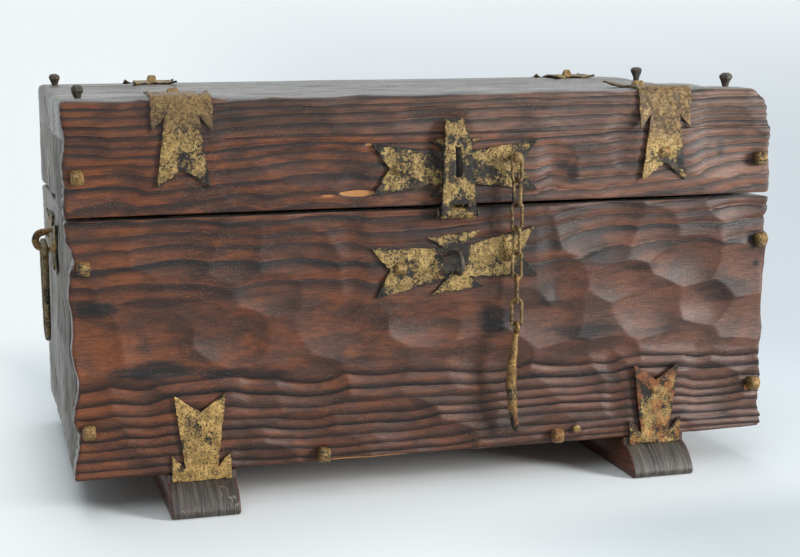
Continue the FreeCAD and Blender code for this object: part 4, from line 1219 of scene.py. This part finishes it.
def make_lid_straps():
    """The two straps that are folded over the lid's front edge."""
    lower = half_cross(-1)[1:-1]
    upper = [(-across, -up) for across, up in lower]
    outline = [(across, up - WING_DROP * (up > -30)) for across, up in lower] + upper
    at = (middle("left_lid_strap")[0], LID_LOW[1], LID_HIGH[2])
    sheet_piece(
        "left_lid_strap", "lid", GILT["strap_left"], outline,
        folded_shape("front", at, left_strap_lift, 61), seed=61,
        worn=[(-20, -70, 9, 0.3), (20, -70, 10, 0.42), (0, 0, 20, 0.12), (-20, -20, 8, 0.35),
              (20, -20, 8, 0.2), (0, -56, 9, 0.16)],
        dusty=lambda flat: fade(flat[:, 1], -38, -14))

    at = (middle("right_lid_strap")[0], LID_LOW[1], LID_HIGH[2])
    outline = [(across, up - STRAP_DROP) for across, up in outline]
    folded = folded_shape("front", at, right_strap_lift, 62)

    def leaning(flat):
        points = folded(flat)
        points[:, 0] -= STRAP_LEAN * np.clip(flat[:, 1], 0, None)
        return points

    sheet_piece(
        "right_lid_strap", "lid", GILT["strap_right"], outline, leaning, seed=62,
        worn=[(18, -66, 10, 0.35), (-20, -28, 8, 0.2), (20, -28, 9, 0.2), (0, -34, 10, 0.2),
              (0, 0, 22, 0.1), (0, -52, 8, -0.3), (-14, -70, 9, -0.2)],
        dusty=lambda flat: fade(flat[:, 1], -52, -34))


def rear_lift(flat):
    """The rear straps' top arms bow up off the plank, and their wing and tail tips curl."""
    up = flat[:, 1]
    bow = 3.2 * np.sin(np.clip((up - 10) / 62, 0, 1) * math.pi)
    wing = 2.2 * fade(np.abs(flat[:, 0]), 15, 25) * fade(up, 12, 24)
    tail = 1.6 * fade(np.abs(flat[:, 0]), 6, 22) * fade(up, 58, 72)
    return 0.4 + bow + wing + tail


def make_hinge_straps():
    """The rear straps: folded over the edge, then straight down to a knuckle on the pin."""
    for hand in ("left", "right"):
        pin = middle(f"{hand}_hinge_pin")
        at = (pin[0], LID_HIGH[1], LID_HIGH[2])
        knuckle = (span(f"{hand}_hinge_plate")[1][1] - LID_HIGH[1]) / 2
        drop = LID_HIGH[2] - pin[2] - knuckle - 0.6
        outline = half_cross()[1:-1] + [
            (-BAND_HALF, -BAND_REACH), (-WAIST_HALF, -SLIT_START), (-WAIST_HALF, -drop),
            (WAIST_HALF, -drop), (WAIST_HALF, -SLIT_START), (BAND_HALF, -BAND_REACH)]
        wall = LID_HIGH[1] + SHEET / 2
        path = [(wall, LID_HIGH[2] - drop + 3), (wall, pin[2] + 3)]
        path += roll(pin[1], pin[2], knuckle - SHEET / 2, 180, 500)
        sheet_piece(
            f"{hand}_hinge_strap", "lid", GILT["rear"], outline, folded_shape("back", at, rear_lift, 63),
            seed=63 + len(hand), more=tongue(path, pin[0]))


# The radius of the hasp's pin and the gap round it.
HASP_PIN_ROUND = 3.05


def make_lock():
    """The lid's lock plate with its tongue, and the catch plate below it."""
    pin = middle("hasp_pin")
    at = (pin[0], BASE_LOW[1], span("hasp_plate")[1][2] - BAND_HALF)
    radius = HASP_PIN_ROUND + SHEET / 2
    wall = BASE_LOW[1] - SHEET / 2 - 0.6
    path = roll(pin[1], pin[2], radius, -250, 0) + [
        (pin[1] + radius - 0.4, pin[2] + 4), (wall, pin[2] + 9), (wall, at[2] - BAND_HALF + SLIT_START)]
    # The hasp plate's last worn spot is painted shade: it bares dark iron behind the hasp's slot, where the
    # plate lies in shadow.
    sheet_piece(
        "hasp_plate", "lid", GILT["lock"], whole_cross(),
        flat_shape("front", at, cross_bow(0.9, 0.5), 64), seed=64,
        worn=[(-70, 20, 6, 0.45), (-66, -22, 5, 0.3), (-22, 0, 12, 0.25), (70, 18, 8, 0.25),
              (68, -20, 10, 0.5), (26, -2, 9, 0.2), (-45, -3, 12, 0.12), (0, 4, 14, 1.2)],
        more=tongue(path, pin[0]))
    sheet_piece(
        "catch_plate", "base", GILT["lock"], whole_cross(),
        flat_shape("front", on_wall("catch_plate", "front"), cross_bow(0.8, 0.0), 65, tilt=CATCH_TILT),
        seed=65,
        worn=[(0, 0, 10, 0.8), (-7, 14, 8, 0.35), (-72, -20, 6, 0.4), (66, -17, 12, 0.5),
              (42, -8, 10, 0.25), (18, -20, 6, 0.5), (-48, 0, 8, 0.2), (-30, -14, 6, 0.3), (5, 9, 8, 0.5)])


# The foot brackets: how far their upper arms stand off the wood, and their worn spots.
FOOT_BRACKETS = {
    "left": (0.2, [(-19, 12, 6, 0.25), (-4, 46, 10, 0.4), (18, 66, 7, 0.3), (-12, 32, 7, 0.4)]),
    "right": (0.9, [(-14, 60, 15, 0.55), (18, 70, 8, 0.3), (0, 30, 8, 0.2)]),
}


def make_foot_brackets():
    """The half crosses that stand on the base's lower edge."""
    for hand, (stand, worn) in FOOT_BRACKETS.items():
        node = f"{hand}_foot_bracket"
        at = on_wall(node, "front")
        at[2] = span(node)[0][2]

        def lift(flat):
            return stand * (1 + flat[:, 1] / 40) * (flat[:, 0] < 30)

        sheet_piece(node, "base", GILT[f"foot_{hand}"], half_cross(), flat_shape("front", at, lift, 66),
                    seed=66 + len(hand), worn=worn)


def make_handle_plates():
    """The crosses that carry the drop handles."""
    for hand in ("left", "right"):
        node = f"{hand}_handle_plate"
        sheet_piece(
            node, "base", GILT["lock"], whole_cross(),
            flat_shape(hand, on_wall(node, hand), cross_bow(0.7, 0.5), 67),
            seed=68 + len(hand), worn=[(0, 0, 12, 0.3), (70, 0, 16, 0.2)])


def make_hinge_plates():
    """The lower plates at the back, their upper arm rolled into two ears on the pin."""
    for hand in ("left", "right"):
        node = f"{hand}_hinge_plate"
        pin = middle(f"{hand}_hinge_pin")
        knuckle = (span(node)[1][1] - BASE_HIGH[1]) / 2
        shoulder = knuckle + 0.3
        centre = shoulder + BAND_HALF
        lower = [(across, up - centre) for across, up in half_cross(-1)[1:-1]]
        outline = [(EAR_REACH, -shoulder), (BAND_HALF, BAND_REACH - centre)] + lower + [
            (-BAND_HALF, BAND_REACH - centre), (-EAR_REACH, -shoulder)]
        wall = BASE_HIGH[1] + SHEET / 2
        path = [(wall, pin[2] - shoulder - 2), (wall, pin[2] - 3)]
        path += roll(pin[1], pin[2], knuckle - SHEET / 2, 180, -140)
        at = (pin[0], BASE_HIGH[1], pin[2])
        sheet_piece(
            node, "base", GILT["rear"], outline, flat_shape("back", at, lambda flat: 0 * flat[:, 0], 69),
            seed=70 + len(hand), more=ears(path, pin[0], SHEET))


HASP_SHEET = 2.4
HASP_TAPER = 28.0
HASP_LONG = 79.0
HASP_BEND = 69.0
HASP_TIP_HALF = 7.9
HASP_LEAN = 2.8
HASP_STAND = 0.3
HASP_TIP_OUT = 3.2
# Above the tongue the strap starts higher, so that the tongue stays free.
HASP_NOTCH = 7.6
SLOT_HALF = 2.7
SLOT_LOW = 30.25
SLOT_LONG = 25.5


def make_hasp():
    """The hasp: a bowed strap with a slot and a bent tip, and two rolled ears on its pin."""
    low, high = span("hasp")
    pin = middle("hasp_pin")
    half = (high[0] - low[0]) / 2
    reach = BASE_LOW[1] - low[1]
    right = [(half - 0.4, 0), (14.4, 14), (13.5, HASP_TAPER), (12.9, 45), (11.3, 60),
             (HASP_TIP_HALF, HASP_LONG)]
    outline = right + [(-across, up) for across, up in right[:0:-1]] + [
        (-half, 0), (-EAR_NEAR, 0), (-EAR_NEAR, HASP_NOTCH), (EAR_NEAR, HASP_NOTCH), (EAR_NEAR, 0)]

    def shape(flat):
        up = flat[:, 1]
        bow = 0.3 * np.sin(np.clip(up / HASP_BEND, 0, 1) * math.pi)
        bend = fade(up, HASP_BEND - 4, HASP_LONG + 3)
        out = reach - HASP_SHEET / 2 - HASP_STAND + bow - (reach - HASP_TIP_OUT) * bend
        out += 0.12 * dents(flat, 71)
        across = flat[:, 0] - HASP_LEAN * fade(up, 38, 96)
        return set_on("front", (pin[0], BASE_LOW[1], pin[2]), np.column_stack([across, up, out]))

    path = [(BASE_LOW[1] - reach + HASP_SHEET / 2 + HASP_STAND, pin[2] + 4)]
    path += roll(pin[1], pin[2], HASP_PIN_ROUND + HASP_SHEET / 2, 180, 500)
    # The hasp's first worn spot is painted shade: it bares dark iron on the bent tip, which faces away from
    # the light.
    sheet_piece(
        "hasp", "hasp", GILT["hasp"], outline, shape, seed=71, ending="strap",
        thickness=HASP_SHEET * ROLLED_SHARE, step=2.6, edge=0.25,
        holes=[(-SLOT_HALF, SLOT_LOW, SLOT_HALF, SLOT_LOW + SLOT_LONG)],
        worn=[(0, 80, 6, 0.8), (9, 36, 9, 0.6), (-7, 34, 6, 0.3), (6, 52, 6, 0.3),
              (-12, 0, 5, 0.7), (12, 0, 5, 0.7), (3, 8, 6, 0.3)],
        more=ears(path, pin[0], HASP_SHEET))


# ---- forged heads, studs and wire -------------------------------------------------------------

def rounded_square(half_wide, half_tall, power=5.0):
    """Points round a square with soft corners."""
    angles = (np.arange(24) + 0.5) * math.tau / 24
    cos, sin = np.cos(angles), np.sin(angles)
    size = (np.abs(cos) ** power + np.abs(sin) ** power) ** (-1 / power)
    return np.column_stack([half_wide * cos * size, half_tall * sin * size])


# A forged head, ring by ring: how far out it lies as a share of the head's own, and its half
# width and half height as shares of the head's width and height.
HEAD_RINGS = ((0.30, 0.50, 0.50), (0.72, 0.43, 0.30), (0.94, 0.36, 0.15), (1.0, 0.26, 0.07))


def nail_head(seed, wide, tall, out, sunk):
    """A forged head like a small hipped roof, its ridge level, as right, up and out."""
    rng = np.random.default_rng(seed)
    ridge = rng.uniform(-0.12, 0.18) * tall
    turn = rng.normal(scale=math.radians(6))
    spin = np.array([[math.cos(turn), math.sin(turn)], [-math.sin(turn), math.cos(turn)]])
    levels = [(-sunk, 0.42, 0.42), (0.2, 0.48, 0.48)]
    levels += [(out * share, share_wide, share_tall) for share, share_wide, share_tall in HEAD_RINGS]
    rings = []
    for height, share_wide, share_tall in levels:
        flat = rounded_square(wide * share_wide, tall * share_tall)
        flat[:, 1] += ridge * max(0.0, height / out)
        rings.append(np.column_stack([flat @ spin, np.full(len(flat), height)]))
    points, faces = ring_stack(rings)
    points += 0.28 * np.column_stack([
        smooth_noise(seed + 1000 * axis, points, (4, 4, 4)) for axis in (1, 2, 3)])
    return points, faces


def solids_of(node):
    """The box of each separate solid in a CAD node."""
    skin = bmesh.new()
    skin.from_mesh(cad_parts[node].data)
    bmesh.ops.remove_doubles(skin, verts=skin.verts, dist=1e-6)
    left = set(skin.verts)
    boxes = []
    while left:
        stack = [left.pop()]
        found = [stack[0]]
        while stack:
            for edge in stack.pop().link_edges:
                for vert in edge.verts:
                    if vert in left:
                        left.remove(vert)
                        found.append(vert)
                        stack.append(vert)
        spots = np.array([vert.co[:] for vert in found]) / MM
        boxes.append((spots.min(0), spots.max(0)))
    skin.free()
    return sorted(boxes, key=lambda box: tuple(np.round(box[0], 1)))


def nail_side(low, high):
    """The side that a nail was driven into, from its box."""
    centre = (low + high) / 2
    long = int(np.argmax(high - low))
    if long == 2:
        return "top"
    if long == 1:
        return "front" if centre[1] < 0 else "back"
    return "left" if centre[0] < 0 else "right"


# The nails of each node: its body and its heads, as width, height, standing out and sunk length.
BOARD_HEAD = (10.8, 12.6, 6.8, 8.0)
PLATE_HEAD = (11.0, 11.4, 6.0, 1.5)
NAILS = {
    "base_front_nails": ("base", BOARD_HEAD), "base_back_nails": ("base", BOARD_HEAD),
    "lid_front_nails": ("lid", BOARD_HEAD), "lid_back_nails": ("lid", BOARD_HEAD),
    "hinge_plate_nails": ("base", PLATE_HEAD), "foot_bracket_nails": ("base", PLATE_HEAD),
    "catch_plate_nails": ("base", PLATE_HEAD), "left_handle_nails": ("base", PLATE_HEAD),
    "right_handle_nails": ("base", PLATE_HEAD), "lid_strap_nails": ("lid", PLATE_HEAD),
    "hinge_strap_nails": ("lid", PLATE_HEAD), "hasp_plate_nail": ("lid", PLATE_HEAD),
}
# Heads that were driven aslant: the node, the nail in it, and how far right and up they sit.
NAIL_SHIFTS = {
    ("base_front_nails", 0): (1.8, 0.0), ("base_front_nails", 1): (2.4, 0.8),
    ("lid_front_nails", 0): (0.2, 2.2), ("lid_front_nails", 1): (2.9, 1.4),
    ("base_front_nails", 4): (2.0, 0.6), ("base_front_nails", 5): (5.6, 0.2),
}
# The heads on top of the rear straps, and the one flat head, painted like the left foot bracket.
TALL_HEAD = (9.6, 9.6, 10.6, 1.5)
FLAT_NAIL = ("foot_bracket_nails", 0)
FLAT_HEAD = (7.6, 7.6, 3.4, 1.5)


def make_nails():
    """The forged heads of every node of nails."""
    for number, (node, (body, head)) in enumerate(NAILS.items()):
        heads, flat_faces = [], 0
        for index, (low, high) in enumerate(solids_of(node)):
            side = nail_side(low, high)
            at = on_side((low + high) / 2, side)
            size = head
            if node == "hinge_strap_nails" and side == "top":
                size = TALL_HEAD
            if (node, index) == FLAT_NAIL:
                size = FLAT_HEAD
            points, faces = nail_head(200 + 17 * number + index, *size)
            points[:, :2] += NAIL_SHIFTS.get((node, index), (0, 0))
            points[:, :2] += strap_shift(node, side, at[0])
            heads.append((set_on(side, at, points), faces))
            if (node, index) == FLAT_NAIL:
                flat_faces = len(faces)
        points, faces = join_meshes(heads)
        piece = make_piece(node, "forged", points, faces, [GILT["nail"], GILT["foot_left"]], body,
                           "gilt_iron", wear=0.05)
        for face in piece.data.polygons[:flat_faces]:
            face.material_index = 1


def strap_shift(node, side, x):
    """The right lid strap hangs further down the front, and its nails with it."""
    if node != "lid_strap_nails" or x < 0:
        return (0, 0)
    if side == "top":
        return (-STRAP_LEAN * (ARM_REACH - 24), -STRAP_DROP)
    return (0, -STRAP_DROP)


def make_plug_nail():
    """The small round-headed nail low in the front."""
    angles = np.arange(20) * math.tau / 20
    rings = []
    for out, radius in ((-5, 3.0), (0.0, 3.6), (0.9, 4.0), (1.6, 3.4), (2.0, 2.0)):
        rings.append(np.column_stack([
            radius * np.cos(angles), radius * 0.92 * np.sin(angles), np.full(20, out)]))
    points, faces = ring_stack(rings)
    points = set_on("front", on_wall("bottom_plug_nail", "front"), points)
    make_piece("bottom_plug_nail", "forged", points, faces, [GILT["nail"]], "base", "gilt_iron", wear=0.1)


# How far each stud has been driven in, how far it stands to the right of its solid, and its
# size: left front, left back, right front, right back.
STUD_SUNK = (3.6, 0.3, 1.8, 0.1)
STUD_SHIFT = (3.4, 0, 0, 0)
STUD_SIZE = (1.0, 1.04, 1.18, 1.18)
# A stud's rings: how far up they lie, and their radius.
STUD_RINGS = ((-8, 2.2), (0.0, 2.5), (3.0, 2.9), (6.2, 4.0), (8.2, 5.1), (10.4, 5.3), (12.2, 4.2),
              (13.3, 2.2))
STUD_FACETS = 8


def make_studs():
    """The four studs on the plank: a neck that flares up to a faceted knob."""
    parts = []
    for index, (low, high) in enumerate(solids_of("lid_corner_studs")):
        rng = np.random.default_rng(300 + index)
        at = on_side((low + high) / 2, "top")
        at[0] += STUD_SHIFT[index]
        angles = (np.arange(STUD_FACETS) + rng.uniform()) * math.tau / STUD_FACETS
        lean = rng.normal(scale=0.35, size=2)
        rings = []
        for up, radius in STUD_RINGS:
            uneven = STUD_SIZE[index] + rng.normal(scale=0.05, size=STUD_FACETS)
            rings.append(np.column_stack([
                radius * uneven * np.cos(angles) + lean[0] * up / 13,
                radius * uneven * np.sin(angles) + lean[1] * up / 13,
                np.full(STUD_FACETS, up - STUD_SUNK[index])]))
        points, faces = ring_stack(rings)
        parts.append((set_on("top", at, points), faces))
    points, faces = join_meshes(parts)
    make_piece("lid_corner_studs", "forged", points, faces, [DARK["stud"]], "lid", "dark_iron",
               smooth=False)


# A staple's half height at the middle of its wire, the wire's radius, and its length in the wood.
STAPLE_HALF = 8.75
STAPLE_WIRE = 2.0
STAPLE_BURIED = 3.0


def make_staple(node, side, material, swell=0.0):
    """A round-nosed staple that stands out of its plate; swell thickens its nose inwards."""
    axis, plane = WALLS[side]
    low, high = span(node)
    nose = max(high[axis] - plane, plane - low[axis]) - STAPLE_HALF - STAPLE_WIRE
    path = [(0, STAPLE_HALF, o) for o in np.linspace(-STAPLE_BURIED, nose, 8)[:-1]]
    for angle in np.linspace(math.pi / 2, -math.pi / 2, 15):
        path.append((0, STAPLE_HALF * math.sin(angle), nose + STAPLE_HALF * math.cos(angle)))
    path += [(0, -STAPLE_HALF, o) for o in np.linspace(nose, -STAPLE_BURIED, 8)[1:]]
    path = np.array(path)
    thick = swell * fade(path[:, 2], 4.0, nose + 1.0)
    from_eye = path - (0, 0, nose)
    from_eye[:, 2] = np.maximum(from_eye[:, 2], 0)
    path -= from_eye / STAPLE_HALF * thick[:, None]
    points, faces = tube(path, STAPLE_WIRE * 0.98 + 0.92 * thick, around=12, seed=81, rough=0.05)
    points = set_on(side, on_wall(node, side), points)
    make_piece(node, "forged", points, faces, [material], "base", "dark_iron", wear=0.05)


# A hinge pin's outline from its middle to its end: the share of its half length, and the radius.
PIN_OUTLINE = ((0, 2.95), (0.5, 2.95), (0.915, 2.95), (0.925, 4.2), (0.98, 4.3), (1, 3.4))


def make_pins():
    """The pins of the two hinges and of the hasp, upset at both ends."""
    outline = [(-share, radius) for share, radius in PIN_OUTLINE[:0:-1]] + list(PIN_OUTLINE)
    radii = [radius for share, radius in outline]
    for node, body in (("left_hinge_pin", "base"), ("right_hinge_pin", "base"), ("hasp_pin", "lid")):
        low, high = span(node)
        at = middle(node)
        half = (high[0] - low[0]) / 2
        path = [(at[0] + half * share, at[1], at[2]) for share, radius in outline]
        points, faces = tube(path, radii, around=20, seed=82, rough=0.02)
        make_piece(node, "forged", points, faces, [DARK["pin"]], body, "dark_iron")


LOOP_TOP_BEND = 8
LOOP_LOW_BEND = 20


def make_handle_loops():
    """The drop handles: closed bar loops, with rounder corners at the bottom than at the top."""
    for hand in ("left", "right"):
        node = f"{hand}_handle_loop"
        low, high = span(node)
        wire = (high[0] - low[0]) / 2
        x = middle(node)[0]
        half = (high[1] - low[1]) / 2 - wire
        top, bottom = high[2] - wire, low[2] + wire
        path = []
        for hand_y, centre_z, bend, start in (
            (1, top - LOOP_TOP_BEND, LOOP_TOP_BEND, 0), (-1, top - LOOP_TOP_BEND, LOOP_TOP_BEND, 90),
            (-1, bottom + LOOP_LOW_BEND, LOOP_LOW_BEND, 180), (1, bottom + LOOP_LOW_BEND, LOOP_LOW_BEND, 270),
        ):
            centre_y = hand_y * (half - bend)
            for angle in np.radians(np.linspace(start, start + 90, 9)):
                path.append((x, centre_y + bend * math.cos(angle), centre_z + bend * math.sin(angle)))
        path = evened(path, 64)
        lower = fade(top - path[:, 2], 4, 70)
        points, faces = tube(path, wire * (0.92 - 0.16 * lower), around=14, closed=True, seed=83, rough=0.05)
        make_piece(node, "forged", points, faces, [GILT["handle"]], f"{hand}_loop", "dark_iron", wear=0.1)


def evened(path, count):
    """A closed path as so many evenly spaced points."""
    path = np.array(path + path[:1], float)
    run = np.concatenate([[0], np.cumsum(np.linalg.norm(np.diff(path, axis=0), axis=1))])
    spots = np.linspace(0, run[-1], count, endpoint=False)
    return np.column_stack([np.interp(spots, run, path[:, axis]) for axis in range(3)])


# How far each chain link is turned, in degrees.  Even links stand square to the odd ones.
LINK_TWIST = {1: 4, 2: 22, 3: -8, 4: 12, 5: 9, 6: -14, 7: -10}
LINK_WIRE = 1.5
LINK_BEND = 4.5


def make_chain():
    """Seven wire links: odd ones face the front, even ones stand nearly edge on."""
    for number, twist in LINK_TWIST.items():
        node = f"chain_link_{number}"
        low, high = span(node)
        half_long = (high[2] - low[2]) / 2 - LINK_WIRE
        angles = np.radians(np.linspace(0, 180, 13))
        path = [(LINK_BEND * math.cos(a), 0, half_long - LINK_BEND + LINK_BEND * math.sin(a)) for a in angles]
        path += [(-x, 0, -z) for x, _, z in path]
        path = evened(path, 56)
        turn = math.radians(twist + (90 if number % 2 == 0 else 0))
        x, z = path[:, 0] * (1 - 0.05 * np.cos(path[:, 2] / half_long * math.pi / 2)), path[:, 2]
        path = middle(node) + np.column_stack([x * math.cos(turn), x * math.sin(turn), z])
        points, faces = tube(path, LINK_WIRE * 0.99, around=10, closed=True, seed=84 + number, rough=0.05)
        make_piece(node, "wire", points, faces, [GILT["chain"]], f"link_{number}", "chain_iron", wear=0.1)


PEG_EYE = 4.3
PEG_LEAN = 4.4


def make_peg():
    """The locking peg: a wire eye, then a flattened body that swells, leans and tapers."""
    low, high = span("locking_peg")
    x, y, _ = middle("chain_link_1")
    eye_z = high[2] - 6.0
    angles = np.radians(np.arange(40) * 9)
    eye = [(x, y + PEG_EYE * math.cos(a), eye_z + PEG_EYE * math.sin(a)) for a in angles]
    ring = tube(eye, 1.68, around=12, closed=True, seed=95, rough=0.03)
    shares = np.linspace(0, 1, 46)
    swell = np.sin(shares * math.pi)
    path = np.column_stack([
        x - PEG_LEAN * swell, np.full(len(shares), y),
        eye_z - PEG_EYE - shares * (eye_z - PEG_EYE - low[2])])
    radii = 1.9 * (1 - shares) + 2.6 * shares + 2.0 * swell ** 0.7
    radii[-3:] *= (0.92, 0.75, 0.45)
    shaft = tube(path, radii, around=14, seed=96, rough=0.07)
    points, faces = join_meshes([ring, shaft])
    wear = 0.6 * fade(-points[:, 2], -low[2] - 18, -low[2] - 4)
    make_piece("locking_peg", "forged", points, faces, [GILT["peg"]], "peg", "chain_iron", wear=wear)


# The chain's nail, ring by ring: how far out it lies, and its half width.
CHAIN_NAIL_RINGS = ((-2.0, 1.88), (3.0, 1.88), (8.0, 1.88), (14.6, 1.88), (14.9, 3.7), (15.6, 4.0),
                    (17.0, 3.1), (17.4, 1.6))


def make_chain_nail():
    """The nail that carries the chain: a shank out of the plate and a flat head."""
    rings = []
    for out, size in CHAIN_NAIL_RINGS:
        flat = rounded_square(size, size, power=2.4 if size < 2 else 4.0)
        rings.append(np.column_stack([flat, np.full(len(flat), out)]))
    points, faces = ring_stack(rings)
    points = set_on("front", on_wall("chain_nail", "front"), points)
    make_piece("chain_nail", "forged", points, faces, [GILT["nail"]], "lid", "gilt_iron", wear=0.2)


# ---- runners ----------------------------------------------------------------------------------

# The rounding under a runner's toe, how far below its top the slope of the toe ends, and the
# rounding of its long edges.
NOSE = 5.5
TOE_FACE = 6.0
EDGE_ROUND = 1.6


def runner_profile(wall, toe, tall):
    """The outline of a runner from the side, as y and z."""
    slope = [(toe - NOSE * (1 - math.sin(turn)), NOSE * (1 - math.cos(turn)))
             for turn in np.linspace(0, math.pi / 2, 7)]
    for share in np.linspace(0, 1, 14)[1:]:
        y = toe + (wall - toe) * share
        z = NOSE + (tall - TOE_FACE - NOSE) * share
        bulge = 4.2 * math.sin(share * math.pi) ** 0.8
        slope.append((min(y + bulge * 0.6, toe), z + bulge * 0.8))
    slope.append((wall, tall))
    top = [(y, tall) for y in np.linspace(wall, -wall, 60)[1:-1]]
    floor = [(y, 0) for y in np.linspace(-toe + NOSE, toe - NOSE, 60)[1:-1]]
    return slope + top + [(-y, z) for y, z in slope[::-1]] + floor


def make_runners():
    """The two runners, their toes sloping out past the chest."""
    wall = BASE_HIGH[1]
    for hand in ("left", "right"):
        node = f"{hand}_runner"
        low, high = span(node)
        tall = high[2]
        wide = high[0] - low[0]
        across = np.concatenate([[0, 0.6, 1.6, 3], np.linspace(3, wide - 3, 26)[1:-1],
                                 [wide - 3, wide - 1.6, wide - 0.6, wide]])
        rings = []
        for step in across:
            to_side = min(step, wide - step)
            pulled = EDGE_ROUND * (1 - math.sqrt(max(0.0, 1 - (1 - min(to_side / EDGE_ROUND, 1)) ** 2)))
            ring = []
            for y, z in runner_profile(wall, high[1], tall):
                shrink_y = pulled * (1 if abs(y) > wall + 1 else 0) * math.copysign(1, y)
                lifted = z + pulled if z < 1 else z
                ring.append((low[0] + step, y - shrink_y, min(lifted, tall)))
            rings.append(np.array(ring))
        points, faces = ring_stack(rings)
        side = (points[:, 0] < low[0] + 1.0) | (points[:, 0] > high[0] - 1.0)
        outside = np.clip((np.abs(points[:, 1]) - wall) / 8, 0, 1)
        ripple = 0.45 * smooth_noise(97, points, (4, 40, 40))
        hollow = 0.5 * smooth_noise(98, points, (26, 20, 20))
        depth = np.clip(0.5 + ripple + hollow, 0, 2) * outside * (points[:, 2] > 1.0)
        points[:, 1] -= np.sign(points[:, 1]) * depth * 0.7
        points[:, 2] -= depth * 0.5
        make_piece(node, "carved", points, faces, [RUNNER], "base", "runner_wood", side=side)


def dress_cad_nodes():
    """Finishes for the CAD nodes that stay."""
    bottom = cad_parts["bottom_board"]
    bottom.data.materials.clear()
    bottom.data.materials.append(INNER["x"])


# ---- studio -----------------------------------------------------------------------------------

CAMERA_AT = (-0.378, -1.407, 0.389)
CAMERA_YAW = math.radians(15.60)
CAMERA_PITCH = math.radians(8.97)
CAMERA_ROLL = math.radians(-0.41)
CAMERA_LENS = 68.85
SENSOR = 36.0


def make_camera():
    """The camera, as it stood for the photograph."""
    data = bpy.data.cameras.new("camera")
    data.lens = CAMERA_LENS
    data.sensor_width = SENSOR
    camera = add_object("camera", data)
    camera.matrix_world = (
        Matrix.Translation(CAMERA_AT) @ Matrix.Rotation(-CAMERA_YAW, 4, "Z")
        @ Matrix.Rotation(math.pi / 2 - CAMERA_PITCH, 4, "X") @ Matrix.Rotation(CAMERA_ROLL, 4, "Z"))
    bpy.context.scene.camera = camera


# Each lamp: where it is, what it is turned to, its width and height, its power and its colour.
LAMPS = {
    "key": ((1.85, -1.6, 0.75), (0, -0.1, 0.18), (0.7, 0.9), 74, (1.0, 0.985, 0.96)),
    "front": ((-0.6, -1.7, 2.1), (0, -0.1, 0.2), (1.5, 1.5), 15, (0.98, 0.99, 1.0)),
    "overhead": ((0.0, 0.5, 2.3), (0, 0.1, 0.1), (2.4, 2.0), 26, (0.96, 0.98, 1.0)),
}


def make_lights():
    """Three soft lamps: the key from the right, a weak one in front and a wide one overhead."""
    for name, (at, aim, size, power, colour) in LAMPS.items():
        data = bpy.data.lights.new(name, "AREA")
        data.shape = "RECTANGLE"
        data.size, data.size_y = size
        data.energy = power
        data.color = colour
        lamp = add_object(name, data)
        lamp.location = at
        lamp.rotation_euler = (Vector(aim) - Vector(at)).to_track_quat("-Z", "Y").to_euler()


def pale_backdrop(name):
    """A pale surface, lit plainly near the chest and glowing to the camera further away, with painted shade
    that darkens it to the right and low down and on the floor in front to the right, and a painted glow that
    fills the chest's shadow on the floor to the left.
    """
    paint = Paint(name)
    x, y, z = (paint.place(axis) for axis in "XYZ")
    # Painted shade: darker towards the right and low down.
    right = paint.times(paint.span(x, -0.05, 0.6), paint.span(z, 0.1, 0.6, 1.0, 0.0))
    colour = paint.mix(right, srgb(242, 249, 251), srgb(214, 223, 229))
    # Painted shade on the floor in front, to the right.
    painted_floor_shade = paint.times(paint.span(x, -0.1, 0.2), paint.span(y, -0.22, -0.34, 0.0, 0.8))
    colour = paint.mix(painted_floor_shade, colour, srgb(192, 203, 209))
    across = paint.math("POWER", paint.math("DIVIDE", x, 0.75), 2.0)
    deep = paint.math("POWER", paint.math("DIVIDE", y, 0.62), 2.0)
    away = paint.math("SQRT", paint.math("ADD", across, deep))
    # Beyond the plain glow further away, a painted glow lifts the chest's shadow on the floor to the left.
    backdrop_glow_and_painted_fill = paint.most(paint.span(away, 0.62, 1.2, 0.0, 0.9), paint.span(x, -0.29, -0.38, 0.0, 0.75))
    plain = paint.add("BsdfDiffuse", 0, {"Color": colour})
    bright = paint.add("Emission", 0, {"Color": colour})
    return paint.surface(paint.add("MixShader", 0, {0: paint.times(paint.seen(), backdrop_glow_and_painted_fill), 1: plain, 2: bright}))


def make_world():
    """A pale room to the camera, which gives the chest only a little light."""
    paint = Paint("studio", bpy.data.worlds)
    bpy.context.scene.world = paint.owner
    shown = paint.add("Background", 0, {"Color": srgb(232, 240, 245), "Strength": 0.9})
    lit = paint.add("Background", 0, {"Color": srgb(236, 241, 245), "Strength": 0.26})
    paint.surface(paint.add("MixShader", 0, {0: paint.seen(), 1: lit, 2: shown}), "ShaderNodeOutputWorld")


SWEEP = 1.6
FLOOR_BACK = 1.5


def make_stage():
    """A floor that sweeps up into a backdrop behind the chest."""
    profile = [(-4.0, 0.0), (FLOOR_BACK, 0.0)]
    for angle in np.radians(np.linspace(-90, 0, 24))[1:]:
        profile.append((FLOOR_BACK + SWEEP * math.cos(angle), SWEEP + SWEEP * math.sin(angle)))
    profile.append((FLOOR_BACK + SWEEP, 5.0))
    points = [(x, y, z) for y, z in profile for x in (-6.0, 6.0)]
    faces = [[2 * row, 2 * row + 1, 2 * row + 3, 2 * row + 2] for row in range(len(profile) - 1)]
    mesh = bpy.data.meshes.new("backdrop")
    mesh.from_pydata(points, [], faces)
    mesh.polygons.foreach_set("use_smooth", [True] * len(faces))
    mesh.materials.append(pale_backdrop("backdrop_paper"))
    add_object("backdrop", mesh)


make_camera()
make_stage()
make_world()
make_lights()
make_boards()
make_runners()
make_lid_straps()
make_hinge_straps()
make_lock()
make_foot_brackets()
make_handle_plates()
make_hinge_plates()
make_hasp()
make_nails()
make_plug_nail()
make_studs()
make_staple("catch_staple", "front", DARK["staple"])
make_staple("left_handle_staple", "left", GILT["nail"], swell=1.5)
make_staple("right_handle_staple", "right", GILT["nail"], swell=1.5)
make_pins()
make_handle_loops()
make_chain()
make_peg()
make_chain_nail()
dress_cad_nodes()

bpy.context.scene.view_settings.view_transform = "Standard"
